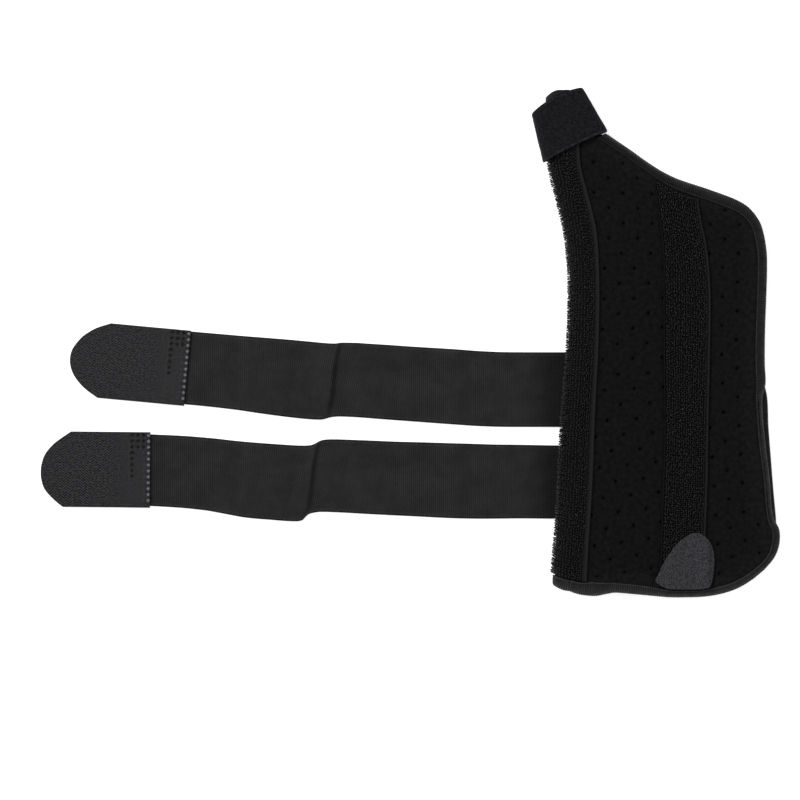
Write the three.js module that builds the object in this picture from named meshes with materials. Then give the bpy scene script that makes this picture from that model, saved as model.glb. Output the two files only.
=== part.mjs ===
import * as THREE from "three";

// A wrist and thumb splint of perforated neoprene, folded along its radial side and laid down.
// Lengths are millimetres. X runs from the strap ends to the free edges of the folded shell,
// Y from the forearm edge to the thumb, and Z up from the surface that the splint lies on.

const { degToRad, lerp, smoothstep } = THREE.MathUtils;

// Shell: one panel, folded into a back leaf below and a front leaf above.
const SPLINT_LENGTH = 256; // forearm edge to the tip of the tongue
const BODY_WIDTH = 115; // fold to the free edges
const SHELL_THICKNESS = 2.5;
const WRIST_HOLLOW = 9; // clear height inside the fold, at the wrist and forearm
const THUMB_HOLLOW = 5; // clear height inside the tongue
const BASE_ROUND = 2.2; // how far the forearm edge draws back where it crosses the fold
const TIP_ROUND = 3.6; // the same at the tip of the tongue

// Binding: elastic tape folded over the cut edge.
const BINDING_THICKNESS = 0.8;
const BINDING_DEPTH = 4.2; // how far it reaches in over the leaf

// Loop tapes and the grey tab.
const TAPE_WIDTH = 24.3;
const TAPE_THICKNESS = 1.7;
const POCKET_TAB_WIDTH = 30.4;
const POCKET_TAB_HEIGHT = 28.6;
const POCKET_TAB_THICKNESS = 1.2;
const POCKET_TAB_EASE = 0.9; // how far past the middle tape's sides it stays level
const POCKET_TAB_SLOPE = 0.7; // then its fall to the leaf, in height per length

// Thumb band: brushed loop band closed round the tongue.
const BAND_WIDTH = 25.5;
const BAND_THICKNESS = 1.5;
const BAND_CORNER = 4.4; // radius of its flattened sides

// Straps and the hook tabs on their ends.
const STRAP_WIDTH = 36.6;
const STRAP_THICKNESS = 1.5;
const STRAP_ROOT = 40; // length sewn under the back leaf
const UPPER_STRAP_REACH = 195; // fold to the strap's end
const LOWER_STRAP_REACH = 214;
const WRINKLE_HEIGHT = 3;
const WRINKLE_WIDTH = 8;
const HOOK_TAB_WIDTH = 37.4;
const HOOK_TAB_THICKNESS = 1.6;
const HOOK_TAB_LAP = 11; // length welded over the strap's end
const HOOK_TAB_DROP = 4; // length over which it steps down past the strap's end
const UPPER_TAB_LENGTH = 60;
const UPPER_TAB_ROUND = 16; // how far its end bulges past its corners
const LOWER_TAB_LENGTH = 55.5;
const LOWER_TAB_ROUND = 13;

// Fits.
const CLEARANCE = 0.3;
const END_GAP = 0.5; // a tape's end to the binding's inner edge

// Angles.
const TAPE_WRAP = degToRad(30); // how far the radial tape turns under the fold
const BAND_LEFT_LEAN = degToRad(13.5);
const BAND_RIGHT_LEAN = degToRad(30);
const WRINKLE_LEAN = degToRad(10);
const UPPER_TAB_TURN = degToRad(-5.3);
const LOWER_TAB_TURN = degToRad(-0.5);
const UPPER_TAB_SKEW = degToRad(5); // how far its rounded end leans out on the lower side
const LOWER_TAB_SKEW = degToRad(7.5);

// Grid steps.
const SHELL_ROWS = 25;
const LEAF_COLUMNS = 12;
const FOLD_COLUMNS = 12;
const TAPE_ROWS = 28;
const TAPE_COLUMNS = 3;
const TAPE_TURN_STEPS = 6;
const POCKET_TAB_COLUMNS = 4;
const STRAP_COLUMNS = 4;
const STRAP_RUN_STEPS = 9;
const WRINKLE_STEPS = 6;
const ARC_STEPS = 10;
const BAND_ROWS = 4;
const CORNER_STEPS = 4;
const TRIM_STEPS = 12;
const LINE_STEPS = 120;
const NORMAL_STEP = 0.05;

// Tables. across is a share of BODY_WIDTH from the fold, along a share of SPLINT_LENGTH from the
// forearm edge, and binding a share of BINDING_DEPTH.

// Outermost line on the fold side.
const FOLD_LINE = [
  { along: 0.0, across: -0.002 },
  { along: 0.03, across: -0.006 },
  { along: 0.071, across: 0.0 },
  { along: 0.19, across: 0.021 },
  { along: 0.33, across: 0.035 },
  { along: 0.487, across: 0.062 },
  { along: 0.618, across: 0.07 },
  { along: 0.713, across: 0.053 },
  { along: 0.784, across: 0.018 },
  { along: 0.852, across: -0.018 },
  { along: 0.92, across: -0.026 },
  { along: 1.0, across: -0.031 },
];

// Cut edge round the tongue, down its neck and along the palm to the corner.
const TOP_EDGE = [
  { across: 0.088, along: 0.998, binding: 0.7 },
  { across: 0.119, along: 0.98, binding: 0.7 },
  { across: 0.145, along: 0.96, binding: 0.7 },
  { across: 0.167, along: 0.941, binding: 0.7 },
  { across: 0.184, along: 0.921, binding: 0.7 },
  { across: 0.216, along: 0.908, binding: 0.7 },
  { across: 0.262, along: 0.9, binding: 0.7 },
  { across: 0.335, along: 0.878, binding: 0.7 },
  { across: 0.407, along: 0.855, binding: 0.75 },
  { across: 0.478, along: 0.835, binding: 0.9 },
  { across: 0.548, along: 0.82, binding: 1 },
  { across: 0.688, along: 0.799, binding: 1 },
  { across: 0.811, along: 0.778, binding: 1 },
  { across: 0.855, along: 0.766, binding: 1 },
  { across: 0.883, along: 0.753, binding: 0.95 },
];

// Cut edge of the front leaf between its two corners, drawn back where the edge rolls under.
const FRONT_SIDE = [
  { across: 0.965, along: 0.077, binding: 0.55 },
  { across: 0.982, along: 0.093, binding: 0.6 },
  { across: 0.99, along: 0.111, binding: 0.6 },
  { across: 0.987, along: 0.131, binding: 0.55 },
  { across: 0.965, along: 0.15, binding: 0.4 },
  { across: 0.954, along: 0.174, binding: 0.35 },
  { across: 0.945, along: 0.23, binding: 0.4 },
  { across: 0.927, along: 0.299, binding: 0.45 },
  { across: 0.914, along: 0.364, binding: 0.4 },
  { across: 0.914, along: 0.396, binding: 0.5 },
  { across: 0.927, along: 0.42, binding: 0.8 },
  { across: 0.924, along: 0.459, binding: 0.8 },
  { across: 0.925, along: 0.523, binding: 0.8 },
  { across: 0.93, along: 0.586, binding: 0.8 },
  { across: 0.934, along: 0.65, binding: 0.8 },
  { across: 0.932, along: 0.681, binding: 0.8 },
  { across: 0.92, along: 0.715, binding: 0.85 },
  { across: 0.905, along: 0.737, binding: 0.9 },
];

// Cut edge of the back leaf between the same corners. It shows past the front leaf's roll.
const BACK_SIDE = [
  { across: 0.956, along: 0.077, binding: 1 },
  { across: 0.974, along: 0.093, binding: 1 },
  { across: 0.98, along: 0.111, binding: 1 },
  { across: 0.977, along: 0.15, binding: 1 },
  { across: 0.966, along: 0.206, binding: 1 },
  { across: 0.955, along: 0.269, binding: 1 },
  { across: 0.944, along: 0.333, binding: 1 },
  { across: 0.9375, along: 0.394, binding: 1 },
  { across: 0.92, along: 0.43, binding: 1 },
  { across: 0.916, along: 0.5, binding: 1 },
  { across: 0.922, along: 0.6, binding: 1 },
  { across: 0.925, along: 0.66, binding: 1 },
  { across: 0.912, along: 0.713, binding: 1 },
  { across: 0.9, along: 0.735, binding: 1 },
];

// Cut edge at the forearm, from the fold to the corner, with one small wave.
const BOTTOM_EDGE = [
  { across: 0.115, along: 0.0105, binding: 1.1 },
  { across: 0.184, along: 0.007, binding: 1.35 },
  { across: 0.225, along: 0.01, binding: 1.1 },
  { across: 0.267, along: 0.0133, binding: 0.85 },
  { across: 0.357, along: 0.0103, binding: 0.8 },
  { across: 0.434, along: 0.007, binding: 0.7 },
  { across: 0.511, along: 0.0038, binding: 0.5 },
  { across: 0.59, along: 0.0034, binding: 0.5 },
  { across: 0.661, along: 0.0044, binding: 0.5 },
  { across: 0.731, along: 0.009, binding: 0.55 },
  { across: 0.808, along: 0.02, binding: 0.55 },
  { across: 0.872, along: 0.0366, binding: 0.55 },
  { across: 0.927, along: 0.0564, binding: 0.55 },
];

// Inner edge of the radial tape: reach is a share of TAPE_WIDTH from the outermost fold line.
const RADIAL_TAPE_EDGE = [
  { along: 0.0, reach: 0.75 },
  { along: 0.15, reach: 0.71 },
  { along: 0.3, reach: 0.71 },
  { along: 0.45, reach: 0.665 },
  { along: 0.62, reach: 0.64 },
  { along: 0.75, reach: 0.68 },
  { along: 1.0, reach: 0.67 },
];

// Fold-side edge of the middle tape, and its width in plan as a share of TAPE_WIDTH.
const MIDDLE_TAPE_EDGE = [
  { along: 0.0, across: 0.471, width: 0.95 },
  { along: 0.111, across: 0.476, width: 0.945 },
  { along: 0.23, across: 0.485, width: 0.945 },
  { along: 0.32, across: 0.491, width: 0.93 },
  { along: 0.49, across: 0.487, width: 0.985 },
  { along: 0.6, across: 0.486, width: 1 },
  { along: 0.69, across: 0.484, width: 0.93 },
  { along: 0.75, across: 0.467, width: 0.88 },
  { along: 0.82, across: 0.449, width: 0.88 },
];

// Grey tab: up is a share of its height, left and right shares of its width from the tape's edge.
const POCKET_TAB_OUTLINE = [
  { up: 0.0, left: 0.04, right: 0.83 },
  { up: 0.08, left: -0.075, right: 0.87 },
  { up: 0.27, left: -0.033, right: 0.898 },
  { up: 0.43, left: 0.027, right: 0.908 },
  { up: 0.61, left: 0.117, right: 0.895 },
  { up: 0.78, left: 0.225, right: 0.845 },
  { up: 0.895, left: 0.342, right: 0.767 },
  { up: 0.975, left: 0.467, right: 0.675 },
  { up: 1.0, left: 0.533, right: 0.617 },
];

// Thumb band: ends of its lower edge.
const BAND_LOWER_EDGE = {
  left: { across: -0.039, along: 0.86 },
  right: { across: 0.245, along: 0.919 },
};

// Centre lines of the straps: out is a share of the strap's reach, aside of STRAP_WIDTH.
const UPPER_STRAP_ROUTE = [
  { out: 0.0, aside: -0.01 },
  { out: 0.135, aside: -0.003 },
  { out: 0.252, aside: 0.03 },
  { out: 0.369, aside: 0.07 },
  { out: 0.486, aside: 0.11 },
  { out: 0.556, aside: 0.128 },
  { out: 0.608, aside: 0.105 },
  { out: 0.642, aside: 0.13 },
  { out: 0.758, aside: 0.2 },
  { out: 0.875, aside: 0.262 },
  { out: 1.0, aside: 0.318 },
];
const LOWER_STRAP_ROUTE = [
  { out: 0.0, aside: -0.02 },
  { out: 0.229, aside: -0.005 },
  { out: 0.442, aside: 0.035 },
  { out: 0.525, aside: 0.06 },
  { out: 0.553, aside: 0.045 },
  { out: 0.584, aside: -0.02 },
  { out: 0.619, aside: -0.03 },
  { out: 0.69, aside: -0.01 },
  { out: 0.761, aside: 0.03 },
  { out: 0.832, aside: 0.09 },
  { out: 1.0, aside: 0.17 },
];
const UPPER_STRAP_HEIGHT = 0.409; // share of SPLINT_LENGTH at which it leaves the fold
const LOWER_STRAP_HEIGHT = 0.2267;

// Places on a strap, as shares of its reach.
const WRINKLE_PLACE = 0.568;
const WRINKLE_SPREAD = 0.25; // how far to each side of the wrinkle the threads lean with it
const TAB_SPREAD = 0.1; // how far from its end the threads lean with the hook tab

// Places on the shell: shares of SPLINT_LENGTH at its fold, and of BODY_WIDTH beyond its fold.
const FOLD_BASE = 0.017; // where the forearm edge meets the fold
const NECK = { start: 0.72, end: 0.84 }; // where the hollow narrows to the thumb's
const HOLLOW_END = 0.58; // where the leaves have come as close as at their free edges
const SETTLE_END = 0.2; // how far past the strap roots the back leaf has sunk to the surface
const LEAST_SIDE = 0.05; // least width of the grey tab's sides, as a share of its own

// Heights that follow from what lies under what.
const BINDING_OUT = CLEARANCE + BINDING_THICKNESS;
const SHELL_REST = Math.max(STRAP_THICKNESS, BAND_THICKNESS) + CLEARANCE;
const EDGE_HOLLOW = 2 * BINDING_OUT + 2 * CLEARANCE;
const TAPE_STACK = CLEARANCE + TAPE_THICKNESS;
const HALF_SHELL = SHELL_THICKNESS / 2;
const TONGUE_HEIGHT = THUMB_HOLLOW + 2 * SHELL_THICKNESS;
const BAND_HEIGHT = SHELL_REST + TONGUE_HEIGHT + TAPE_STACK + CLEARANCE + BAND_THICKNESS;

// Value of one column of a table at a place in another, on a smooth curve through its rows.
function readTable(rows, place, column, at) {
  const last = rows.length - 1;
  if (at <= rows[0][place]) return rows[0][column];
  if (at >= rows[last][place]) return rows[last][column];
  const i = rows.findIndex((row) => row[place] > at) - 1;
  const slope = (a, b) => (rows[b][column] - rows[a][column]) / (rows[b][place] - rows[a][place]);
  const step = rows[i + 1][place] - rows[i][place];
  const t = (at - rows[i][place]) / step;
  const start = slope(Math.max(i - 1, 0), i + 1) * step;
  const end = slope(i, Math.min(i + 2, last)) * step;
  const from = rows[i][column];
  const to = rows[i + 1][column];
  const bend = (2 * t ** 3 - 3 * t ** 2 + 1) * from + (3 * t ** 2 - 2 * t ** 3) * to;
  return bend + (t ** 3 - 2 * t ** 2 + t) * start + (t ** 3 - t ** 2) * end;
}

// The folded sheet. A place on it is its reach, measured over the sheet from the fold line,
// positive on the front leaf and negative on the back leaf, and its y.

function foldEdge(y) {
  return readTable(FOLD_LINE, "along", "across", y / SPLINT_LENGTH) * BODY_WIDTH;
}

// How far up the neck a place lies, from 0 below it to 1 above it.
function neckShare(y) {
  return smoothstep(y / SPLINT_LENGTH, NECK.start, NECK.end);
}

function foldHollow(y) {
  return lerp(WRIST_HOLLOW, THUMB_HOLLOW, neckShare(y));
}

function foldRadius(y) {
  return (foldHollow(y) + SHELL_THICKNESS) / 2;
}

// Where the fold's round ends and a leaf begins, in plan.
function leafStart(y) {
  return foldEdge(y) + TAPE_STACK + HALF_SHELL + foldRadius(y);
}

function reachAt(x, y) {
  return x - leafStart(y) + (foldRadius(y) * Math.PI) / 2;
}

function backHeight(beyond) {
  const settled = smoothstep(beyond, STRAP_ROOT, STRAP_ROOT + SETTLE_END * BODY_WIDTH);
  return lerp(SHELL_REST, Math.min(BINDING_OUT, SHELL_REST), settled) + HALF_SHELL;
}

function hollowAt(beyond, y) {
  const edge = lerp(EDGE_HOLLOW, THUMB_HOLLOW, neckShare(y));
  return lerp(foldHollow(y), edge, smoothstep(beyond, 0, HOLLOW_END * BODY_WIDTH));
}

function sheetPoint(reach, y) {
  const radius = foldRadius(y);
  const quarter = (radius * Math.PI) / 2;
  const turn = THREE.MathUtils.clamp(reach, -quarter, quarter) / radius;
  const beyond = Math.max(Math.abs(reach) - quarter, 0);
  const x = leafStart(y) - radius * Math.cos(turn) + beyond;
  const round = backHeight(0) + radius * (1 + Math.sin(turn));
  if (beyond === 0) return new THREE.Vector3(x, y, round);
  const front = backHeight(beyond) + SHELL_THICKNESS + hollowAt(beyond, y);
  return new THREE.Vector3(x, y, reach > 0 ? front : backHeight(beyond));
}

// A point off the sheet by a height along its outward normal.
function onSheet(reach, y, height) {
  const across = sheetPoint(reach + NORMAL_STEP, y).sub(sheetPoint(reach - NORMAL_STEP, y));
  const along = sheetPoint(reach, y + NORMAL_STEP).sub(sheetPoint(reach, y - NORMAL_STEP));
  return sheetPoint(reach, y).addScaledVector(across.cross(along).normalize(), height);
}

// A closed wall between two grids of points, rows by columns. The outer grid faces the way that
// its columns' direction crossed with its rows' direction points.
function wallSolid(outer, inner, closedRound = false) {
  const rows = outer.length;
  const columns = outer[0].length;
  const points = [...outer.flat(), ...inner.flat()];
  const faces = [];
  const quad = (a, b, c, d) => faces.push(a, b, c, a, c, d);
  const top = (r, c) => r * columns + (c % columns);
  const under = (r, c) => rows * columns + top(r, c);
  const spans = closedRound ? columns : columns - 1;
  for (let r = 0; r < rows - 1; r++) {
    for (let c = 0; c < spans; c++) {
      quad(top(r, c), top(r, c + 1), top(r + 1, c + 1), top(r + 1, c));
      quad(under(r, c), under(r + 1, c), under(r + 1, c + 1), under(r, c + 1));
    }
    if (closedRound) continue;
    quad(under(r, 0), top(r, 0), top(r + 1, 0), under(r + 1, 0));
    quad(under(r, spans), under(r + 1, spans), top(r + 1, spans), top(r, spans));
  }
  for (let c = 0; c < spans; c++) {
    const end = rows - 1;
    quad(under(0, c), under(0, c + 1), top(0, c + 1), top(0, c));
    quad(top(end, c), top(end, c + 1), under(end, c + 1), under(end, c));
  }
  return new THREE.BufferGeometry().setFromPoints(points).setIndex(faces);
}

// A wall laid on the sheet: a grid of places, raised from one height to another.
function laidOnSheet(places, low, high) {
  const raise = (extra) =>
    places.map((row) =>
      row.map(({ reach, y, lift = 0 }) => onSheet(reach, y, HALF_SHELL + lift + extra)),
    );
  return wallSolid(raise(high), raise(low));
}

// Curves of the cut edge in plan. The third coordinate carries the binding's depth.
function edgePoint({ across, along, binding }) {
  return new THREE.Vector3(across * BODY_WIDTH, along * SPLINT_LENGTH, binding * BINDING_DEPTH);
}

const TIP = SPLINT_LENGTH;
const BASE = FOLD_BASE * SPLINT_LENGTH;
const tipStart = new THREE.Vector3(leafStart(TIP), TIP, BINDING_DEPTH);
const baseStart = new THREE.Vector3(leafStart(BASE), BASE, BINDING_DEPTH);
const topRows = TOP_EDGE.map(edgePoint);
const bottomRows = BOTTOM_EDGE.map(edgePoint);

function curveThrough(points) {
  return new THREE.CatmullRomCurve3(points, false, "centripetal");
}

function sideCurve(rows) {
  return curveThrough([bottomRows.at(-1), ...rows.map(edgePoint), topRows.at(-1)]);
}

const topCurve = curveThrough([tipStart, ...topRows]);
const bottomCurve = curveThrough([baseStart, ...bottomRows]);
const frontSide = sideCurve(FRONT_SIDE);
const backSide = sideCurve(BACK_SIDE);

// Grid of places over one leaf, spanned between its four edges.
function leafPlaces(side) {
  const corner = { low: side.getPointAt(0), high: side.getPointAt(1) };
  const places = [];
  for (let r = 0; r <= SHELL_ROWS; r++) {
    const up = r / SHELL_ROWS;
    const y = lerp(BASE, TIP, up);
    const foldSide = new THREE.Vector3(leafStart(y), y, BINDING_DEPTH);
    const freeSide = side.getPointAt(up);
    places.push([]);
    for (let c = 0; c <= LEAF_COLUMNS; c++) {
      const over = c / LEAF_COLUMNS;
      const between = bottomCurve.getPointAt(over).lerp(topCurve.getPointAt(over), up);
      const sides = foldSide.clone().lerp(freeSide, over);
      const lowCorners = baseStart.clone().lerp(corner.low, over);
      const highCorners = tipStart.clone().lerp(corner.high, over);
      const place = between.add(sides).sub(lowCorners.lerp(highCorners, up));
      places[r].push({ reach: reachAt(place.x, place.y), y: place.y, depth: place.z });
    }
  }
  return places;
}

// How far a cut edge that is drawn back on the fold lies in at a turn round it.
function drawnBack(round, turn) {
  return round * Math.cos(turn) ** 2;
}

function foldPlace(turn, up) {
  const y = lerp(BASE + drawnBack(BASE_ROUND, turn), TIP - drawnBack(TIP_ROUND, turn), up);
  return { reach: turn * foldRadius(y), y, depth: BINDING_DEPTH };
}

// The fold's columns turn from straight down, through level, to straight up.
function foldTurn(column) {
  return (column / FOLD_COLUMNS - 0.5) * Math.PI;
}

function foldRow(r) {
  const row = [];
  for (let c = 1; c < FOLD_COLUMNS; c++) row.push(foldPlace(foldTurn(c), r / SHELL_ROWS));
  return row;
}

const frontLeaf = leafPlaces(frontSide);
const backLeaf = leafPlaces(backSide);
const shellPlaces = frontLeaf.map((front, r) => {
  const back = backLeaf[r].map((place) => ({ ...place, reach: -place.reach })).reverse();
  return [...back, ...foldRow(r), ...front];
});

function foldedShell() {
  return laidOnSheet(shellPlaces, -SHELL_THICKNESS, 0);
}

// The thumb band's four corners in plan, and how far a point lies below its lower edge.
function planPoint({ across, along }) {
  return new THREE.Vector3(across * BODY_WIDTH, along * SPLINT_LENGTH, 0);
}

function bandSide(low, lean) {
  const up = new THREE.Vector3(-Math.sin(lean), Math.cos(lean), 0);
  return { low, high: low.clone().addScaledVector(up, BAND_WIDTH) };
}

const bandLeft = bandSide(planPoint(BAND_LOWER_EDGE.left), BAND_LEFT_LEAN);
const bandRight = bandSide(planPoint(BAND_LOWER_EDGE.right), BAND_RIGHT_LEAN);

function belowBand(point) {
  const edge = bandRight.low.clone().sub(bandLeft.low).normalize();
  const offset = point.clone().sub(bandLeft.low);
  return edge.y * offset.x - edge.x * offset.y;
}

// Section of the binding, from its inner edge on the outside of the shell, round the cut edge,
// to its inner edge on the inside. deep points lie a binding depth in from the cut edge.
const BINDING_HIGH = HALF_SHELL + BINDING_OUT;
const BINDING_LOW = HALF_SHELL + CLEARANCE;
const BINDING_SECTION = [
  { deep: true, outer: [0, BINDING_HIGH], inner: [0, BINDING_LOW] },
  { outer: [CLEARANCE / 2, BINDING_HIGH], inner: [CLEARANCE, BINDING_LOW] },
  { outer: [BINDING_OUT, BINDING_HIGH / 2], inner: [CLEARANCE, BINDING_LOW / 2] },
  { outer: [BINDING_OUT, -BINDING_HIGH / 2], inner: [CLEARANCE, -BINDING_LOW / 2] },
  { outer: [CLEARANCE / 2, -BINDING_HIGH], inner: [CLEARANCE, -BINDING_LOW] },
  { deep: true, outer: [0, -BINDING_HIGH], inner: [0, -BINDING_LOW] },
];

function bindingStation(path, i) {
  const before = path[Math.max(i - 1, 0)];
  const after = path[Math.min(i + 1, path.length - 1)];
  const { reach, y, depth, squareEnd } = path[i];
  const rise = squareEnd ? 0 : after.y - before.y;
  const along = new THREE.Vector2(after.reach - before.reach, rise).normalize();
  const place = (deep, [out, height]) => {
    const from = deep ? -depth : out;
    return onSheet(reach + from * along.y, y - from * along.x, height);
  };
  return {
    outer: BINDING_SECTION.map(({ deep, outer }) => place(deep, outer)),
    inner: BINDING_SECTION.map(({ deep, inner }) => place(deep, inner)),
  };
}

function between(a, b, share) {
  return {
    reach: lerp(a.reach, b.reach, share),
    y: lerp(a.y, b.y, share),
    depth: lerp(a.depth, b.depth, share),
  };
}

// The part of a path that ends clear of the thumb band. The path runs towards the band.
function upToBand(path) {
  const kept = [path[0]];
  for (let i = 1; i < path.length; i++) {
    for (let s = 1; s <= TRIM_STEPS; s++) {
      const trial = [...kept, between(path[i - 1], path[i], s / TRIM_STEPS)];
      const { outer } = bindingStation(trial, trial.length - 1);
      if (outer.every((point) => belowBand(point) >= CLEARANCE)) continue;
      return s === 1 ? kept : [...kept, between(path[i - 1], path[i], (s - 1) / TRIM_STEPS)];
    }
    kept.push(path[i]);
  }
  return kept;
}

// Cut edge of one leaf, from the fold at the forearm round to the thumb band.
function edgePath(leaf) {
  const turns = [];
  for (let c = FOLD_COLUMNS / 2; c < FOLD_COLUMNS; c++) turns.push(foldTurn(c));
  const round = turns.map((turn) => foldPlace(turn, 0));
  round[0] = { ...between(round[0], round[1], CLEARANCE / 2 / round[1].reach), squareEnd: true };
  const bottom = leaf[0];
  const side = leaf.slice(1).map((row) => row.at(-1));
  const top = leaf.at(-1).slice(0, -1).reverse();
  return [...round, ...bottom, ...side, ...top];
}

function bindingAlong(path) {
  const stations = path.map((_, i) => bindingStation(path, i));
  return wallSolid(
    stations.map(({ outer }) => outer),
    stations.map(({ inner }) => inner),
  );
}

function frontBinding() {
  return bindingAlong(upToBand(edgePath(frontLeaf)));
}

function backBinding() {
  const mirrored = upToBand(edgePath(backLeaf));
  return bindingAlong(mirrored.map((place) => ({ ...place, reach: -place.reach })).reverse());
}

// Height in plan of a line that lies a binding depth and a gap in from a cut edge.
function innerLine(curve, inward) {
  const line = [];
  for (let i = 0; i <= LINE_STEPS; i++) {
    const point = curve.getPoint(i / LINE_STEPS);
    const tangent = curve.getTangent(i / LINE_STEPS);
    const flat = Math.hypot(tangent.x, tangent.y);
    const depth = point.z + END_GAP;
    const x = point.x - (inward * depth * tangent.y) / flat;
    line.push({ x, y: point.y + (inward * depth * tangent.x) / flat });
  }
  return line;
}

function heightOn(line, x) {
  const i = THREE.MathUtils.clamp(line.findIndex((point) => point.x > x), 1, line.length - 1);
  const [a, b] = [line[i - 1], line[i]];
  return lerp(a.y, b.y, THREE.MathUtils.clamp((x - a.x) / (b.x - a.x), 0, 1));
}

const bottomInner = innerLine(bottomCurve, 1);
const topInner = innerLine(topCurve, -1);
const topLine = topCurve.getPoints(LINE_STEPS);

// Radial tape, from under the fold, round it, and onto the front leaf.
function radialTapeReach(y) {
  const edge = readTable(RADIAL_TAPE_EDGE, "along", "reach", y / SPLINT_LENGTH) * TAPE_WIDTH;
  return reachAt(foldEdge(y) + edge, y);
}

function radialTapePlaces() {
  const turns = [];
  for (let i = 0; i <= TAPE_TURN_STEPS; i++) {
    turns.push(lerp(-TAPE_WRAP, Math.PI / 2, i / TAPE_TURN_STEPS));
  }
  const places = [];
  for (let r = 0; r <= TAPE_ROWS; r++) {
    const up = r / TAPE_ROWS;
    const row = turns.map((turn) => {
      const slope = (BASE_ROUND * Math.sin(2 * turn)) / foldRadius(BASE);
      const inner = BINDING_DEPTH * Math.hypot(1, slope) + END_GAP;
      const low = BASE + drawnBack(BASE_ROUND, turn) + inner;
      const y = lerp(low, TIP - drawnBack(TIP_ROUND, turn), up);
      return { reach: turn * foldRadius(y), y };
    });
    for (let i = 1; i <= TAPE_COLUMNS; i++) {
      const share = i / TAPE_COLUMNS;
      const tapeX = (y) => {
        const quarter = (foldRadius(y) * Math.PI) / 2;
        return leafStart(y) + (radialTapeReach(y) - quarter) * share;
      };
      const low = heightOn(bottomInner, tapeX(BASE));
      const y = lerp(low, heightOn(topLine, tapeX(TIP)), up);
      row.push({ reach: reachAt(tapeX(y), y), y });
    }
    places.push(row);
  }
  return places;
}

function radialTape() {
  return laidOnSheet(radialTapePlaces(), CLEARANCE, TAPE_STACK);
}

// Middle tape, between the bindings at the forearm and the palm.
function middleTapeLeft(y) {
  return readTable(MIDDLE_TAPE_EDGE, "along", "across", y / SPLINT_LENGTH) * BODY_WIDTH;
}

function middleTapeWidth(y) {
  return readTable(MIDDLE_TAPE_EDGE, "along", "width", y / SPLINT_LENGTH) * TAPE_WIDTH;
}

function middleTape() {
  const places = [];
  for (let r = 0; r <= TAPE_ROWS; r++) {
    const row = [];
    for (let c = 0; c <= TAPE_COLUMNS; c++) {
      const columnX = (y) => middleTapeLeft(y) + (middleTapeWidth(y) * c) / TAPE_COLUMNS;
      const low = heightOn(bottomInner, columnX(0));
      const high = heightOn(topInner, columnX(SPLINT_LENGTH));
      const y = lerp(low, high, r / TAPE_ROWS);
      row.push({ reach: reachAt(columnX(y), y), y });
    }
    places.push(row);
  }
  return laidOnSheet(places, CLEARANCE, TAPE_STACK);
}

// Grey tab, laid over the middle tape and down its two sides to the leaf.
function pocketTab() {
  const base = middleTapeLeft(0);
  const levelStart = base - POCKET_TAB_EASE;
  const levelEnd = base + middleTapeWidth(0) + POCKET_TAB_EASE;
  const places = POCKET_TAB_OUTLINE.map(({ up, left, right }) => {
    const low = base + left * POCKET_TAB_WIDTH;
    const high = base + right * POCKET_TAB_WIDTH;
    const least = LEAST_SIDE * (high - low);
    const from = Math.max(levelStart, low + least);
    const to = Math.min(levelEnd, high - least);
    const columns = [low];
    for (let c = 0; c <= POCKET_TAB_COLUMNS; c++) {
      columns.push(lerp(from, to, c / POCKET_TAB_COLUMNS));
    }
    columns.push(high);
    return columns.map((x) => {
      const y = heightOn(bottomInner, x) + up * POCKET_TAB_HEIGHT;
      const past = Math.max(levelStart - x, x - levelEnd, 0);
      const lift = TAPE_STACK - Math.min(TAPE_STACK, POCKET_TAB_SLOPE * past);
      return { reach: reachAt(x + middleTapeLeft(y) - base, y), y, lift };
    });
  });
  return laidOnSheet(places, CLEARANCE, CLEARANCE + POCKET_TAB_THICKNESS);
}

// Thumb band: a flattened ring, its section rounded at both sides.
function bandRing(share, inset) {
  const left = bandLeft.low.clone().lerp(bandLeft.high, share);
  const right = bandRight.low.clone().lerp(bandRight.high, share);
  const middle = left.clone().lerp(right, 0.5);
  const over = right.clone().sub(left).normalize();
  const corner = BAND_CORNER - inset;
  const reach = left.distanceTo(right) / 2 - BAND_CORNER;
  const rise = BAND_HEIGHT / 2 - BAND_CORNER;
  const ring = [];
  const corners = [
    { side: -1, level: -1, from: -90 },
    { side: -1, level: 1, from: 0 },
    { side: 1, level: 1, from: 90 },
    { side: 1, level: -1, from: 180 },
  ];
  for (const { side, level, from } of corners) {
    for (let i = 0; i <= CORNER_STEPS; i++) {
      const turn = degToRad(from + (90 * i) / CORNER_STEPS);
      const offset = side * reach - corner * Math.cos(turn);
      const point = middle.clone().addScaledVector(over, offset);
      point.z = BAND_HEIGHT / 2 + level * rise + corner * Math.sin(turn);
      ring.push(point);
    }
  }
  return ring;
}

function thumbBand() {
  const rings = (inset) => {
    const made = [];
    for (let r = 0; r <= BAND_ROWS; r++) made.push(bandRing(r / BAND_ROWS, inset));
    return made;
  };
  return wallSolid(rings(0), rings(BAND_THICKNESS), true);
}

// Straps: flat elastic webbing with one slanted wrinkle.
function strapMiddle(strap, out) {
  const aside = readTable(strap.route, "out", "aside", out) * STRAP_WIDTH;
  return new THREE.Vector3(-out * strap.reach, strap.height * SPLINT_LENGTH + aside, 0);
}

// Stations from a strap's end to its root, close together over the wrinkle.
function strapStations(strap) {
  const half = WRINKLE_WIDTH / (2 * strap.reach);
  const runs = [
    { from: 1, to: WRINKLE_PLACE + half, steps: STRAP_RUN_STEPS },
    { from: WRINKLE_PLACE + half, to: WRINKLE_PLACE - half, steps: WRINKLE_STEPS },
    { from: WRINKLE_PLACE - half, to: 0, steps: STRAP_RUN_STEPS },
    { from: 0, to: -STRAP_ROOT / strap.reach, steps: 1 },
  ];
  const stations = [1];
  for (const { from, to, steps } of runs) {
    for (let i = 1; i <= steps; i++) stations.push(lerp(from, to, i / steps));
  }
  return stations;
}

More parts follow.
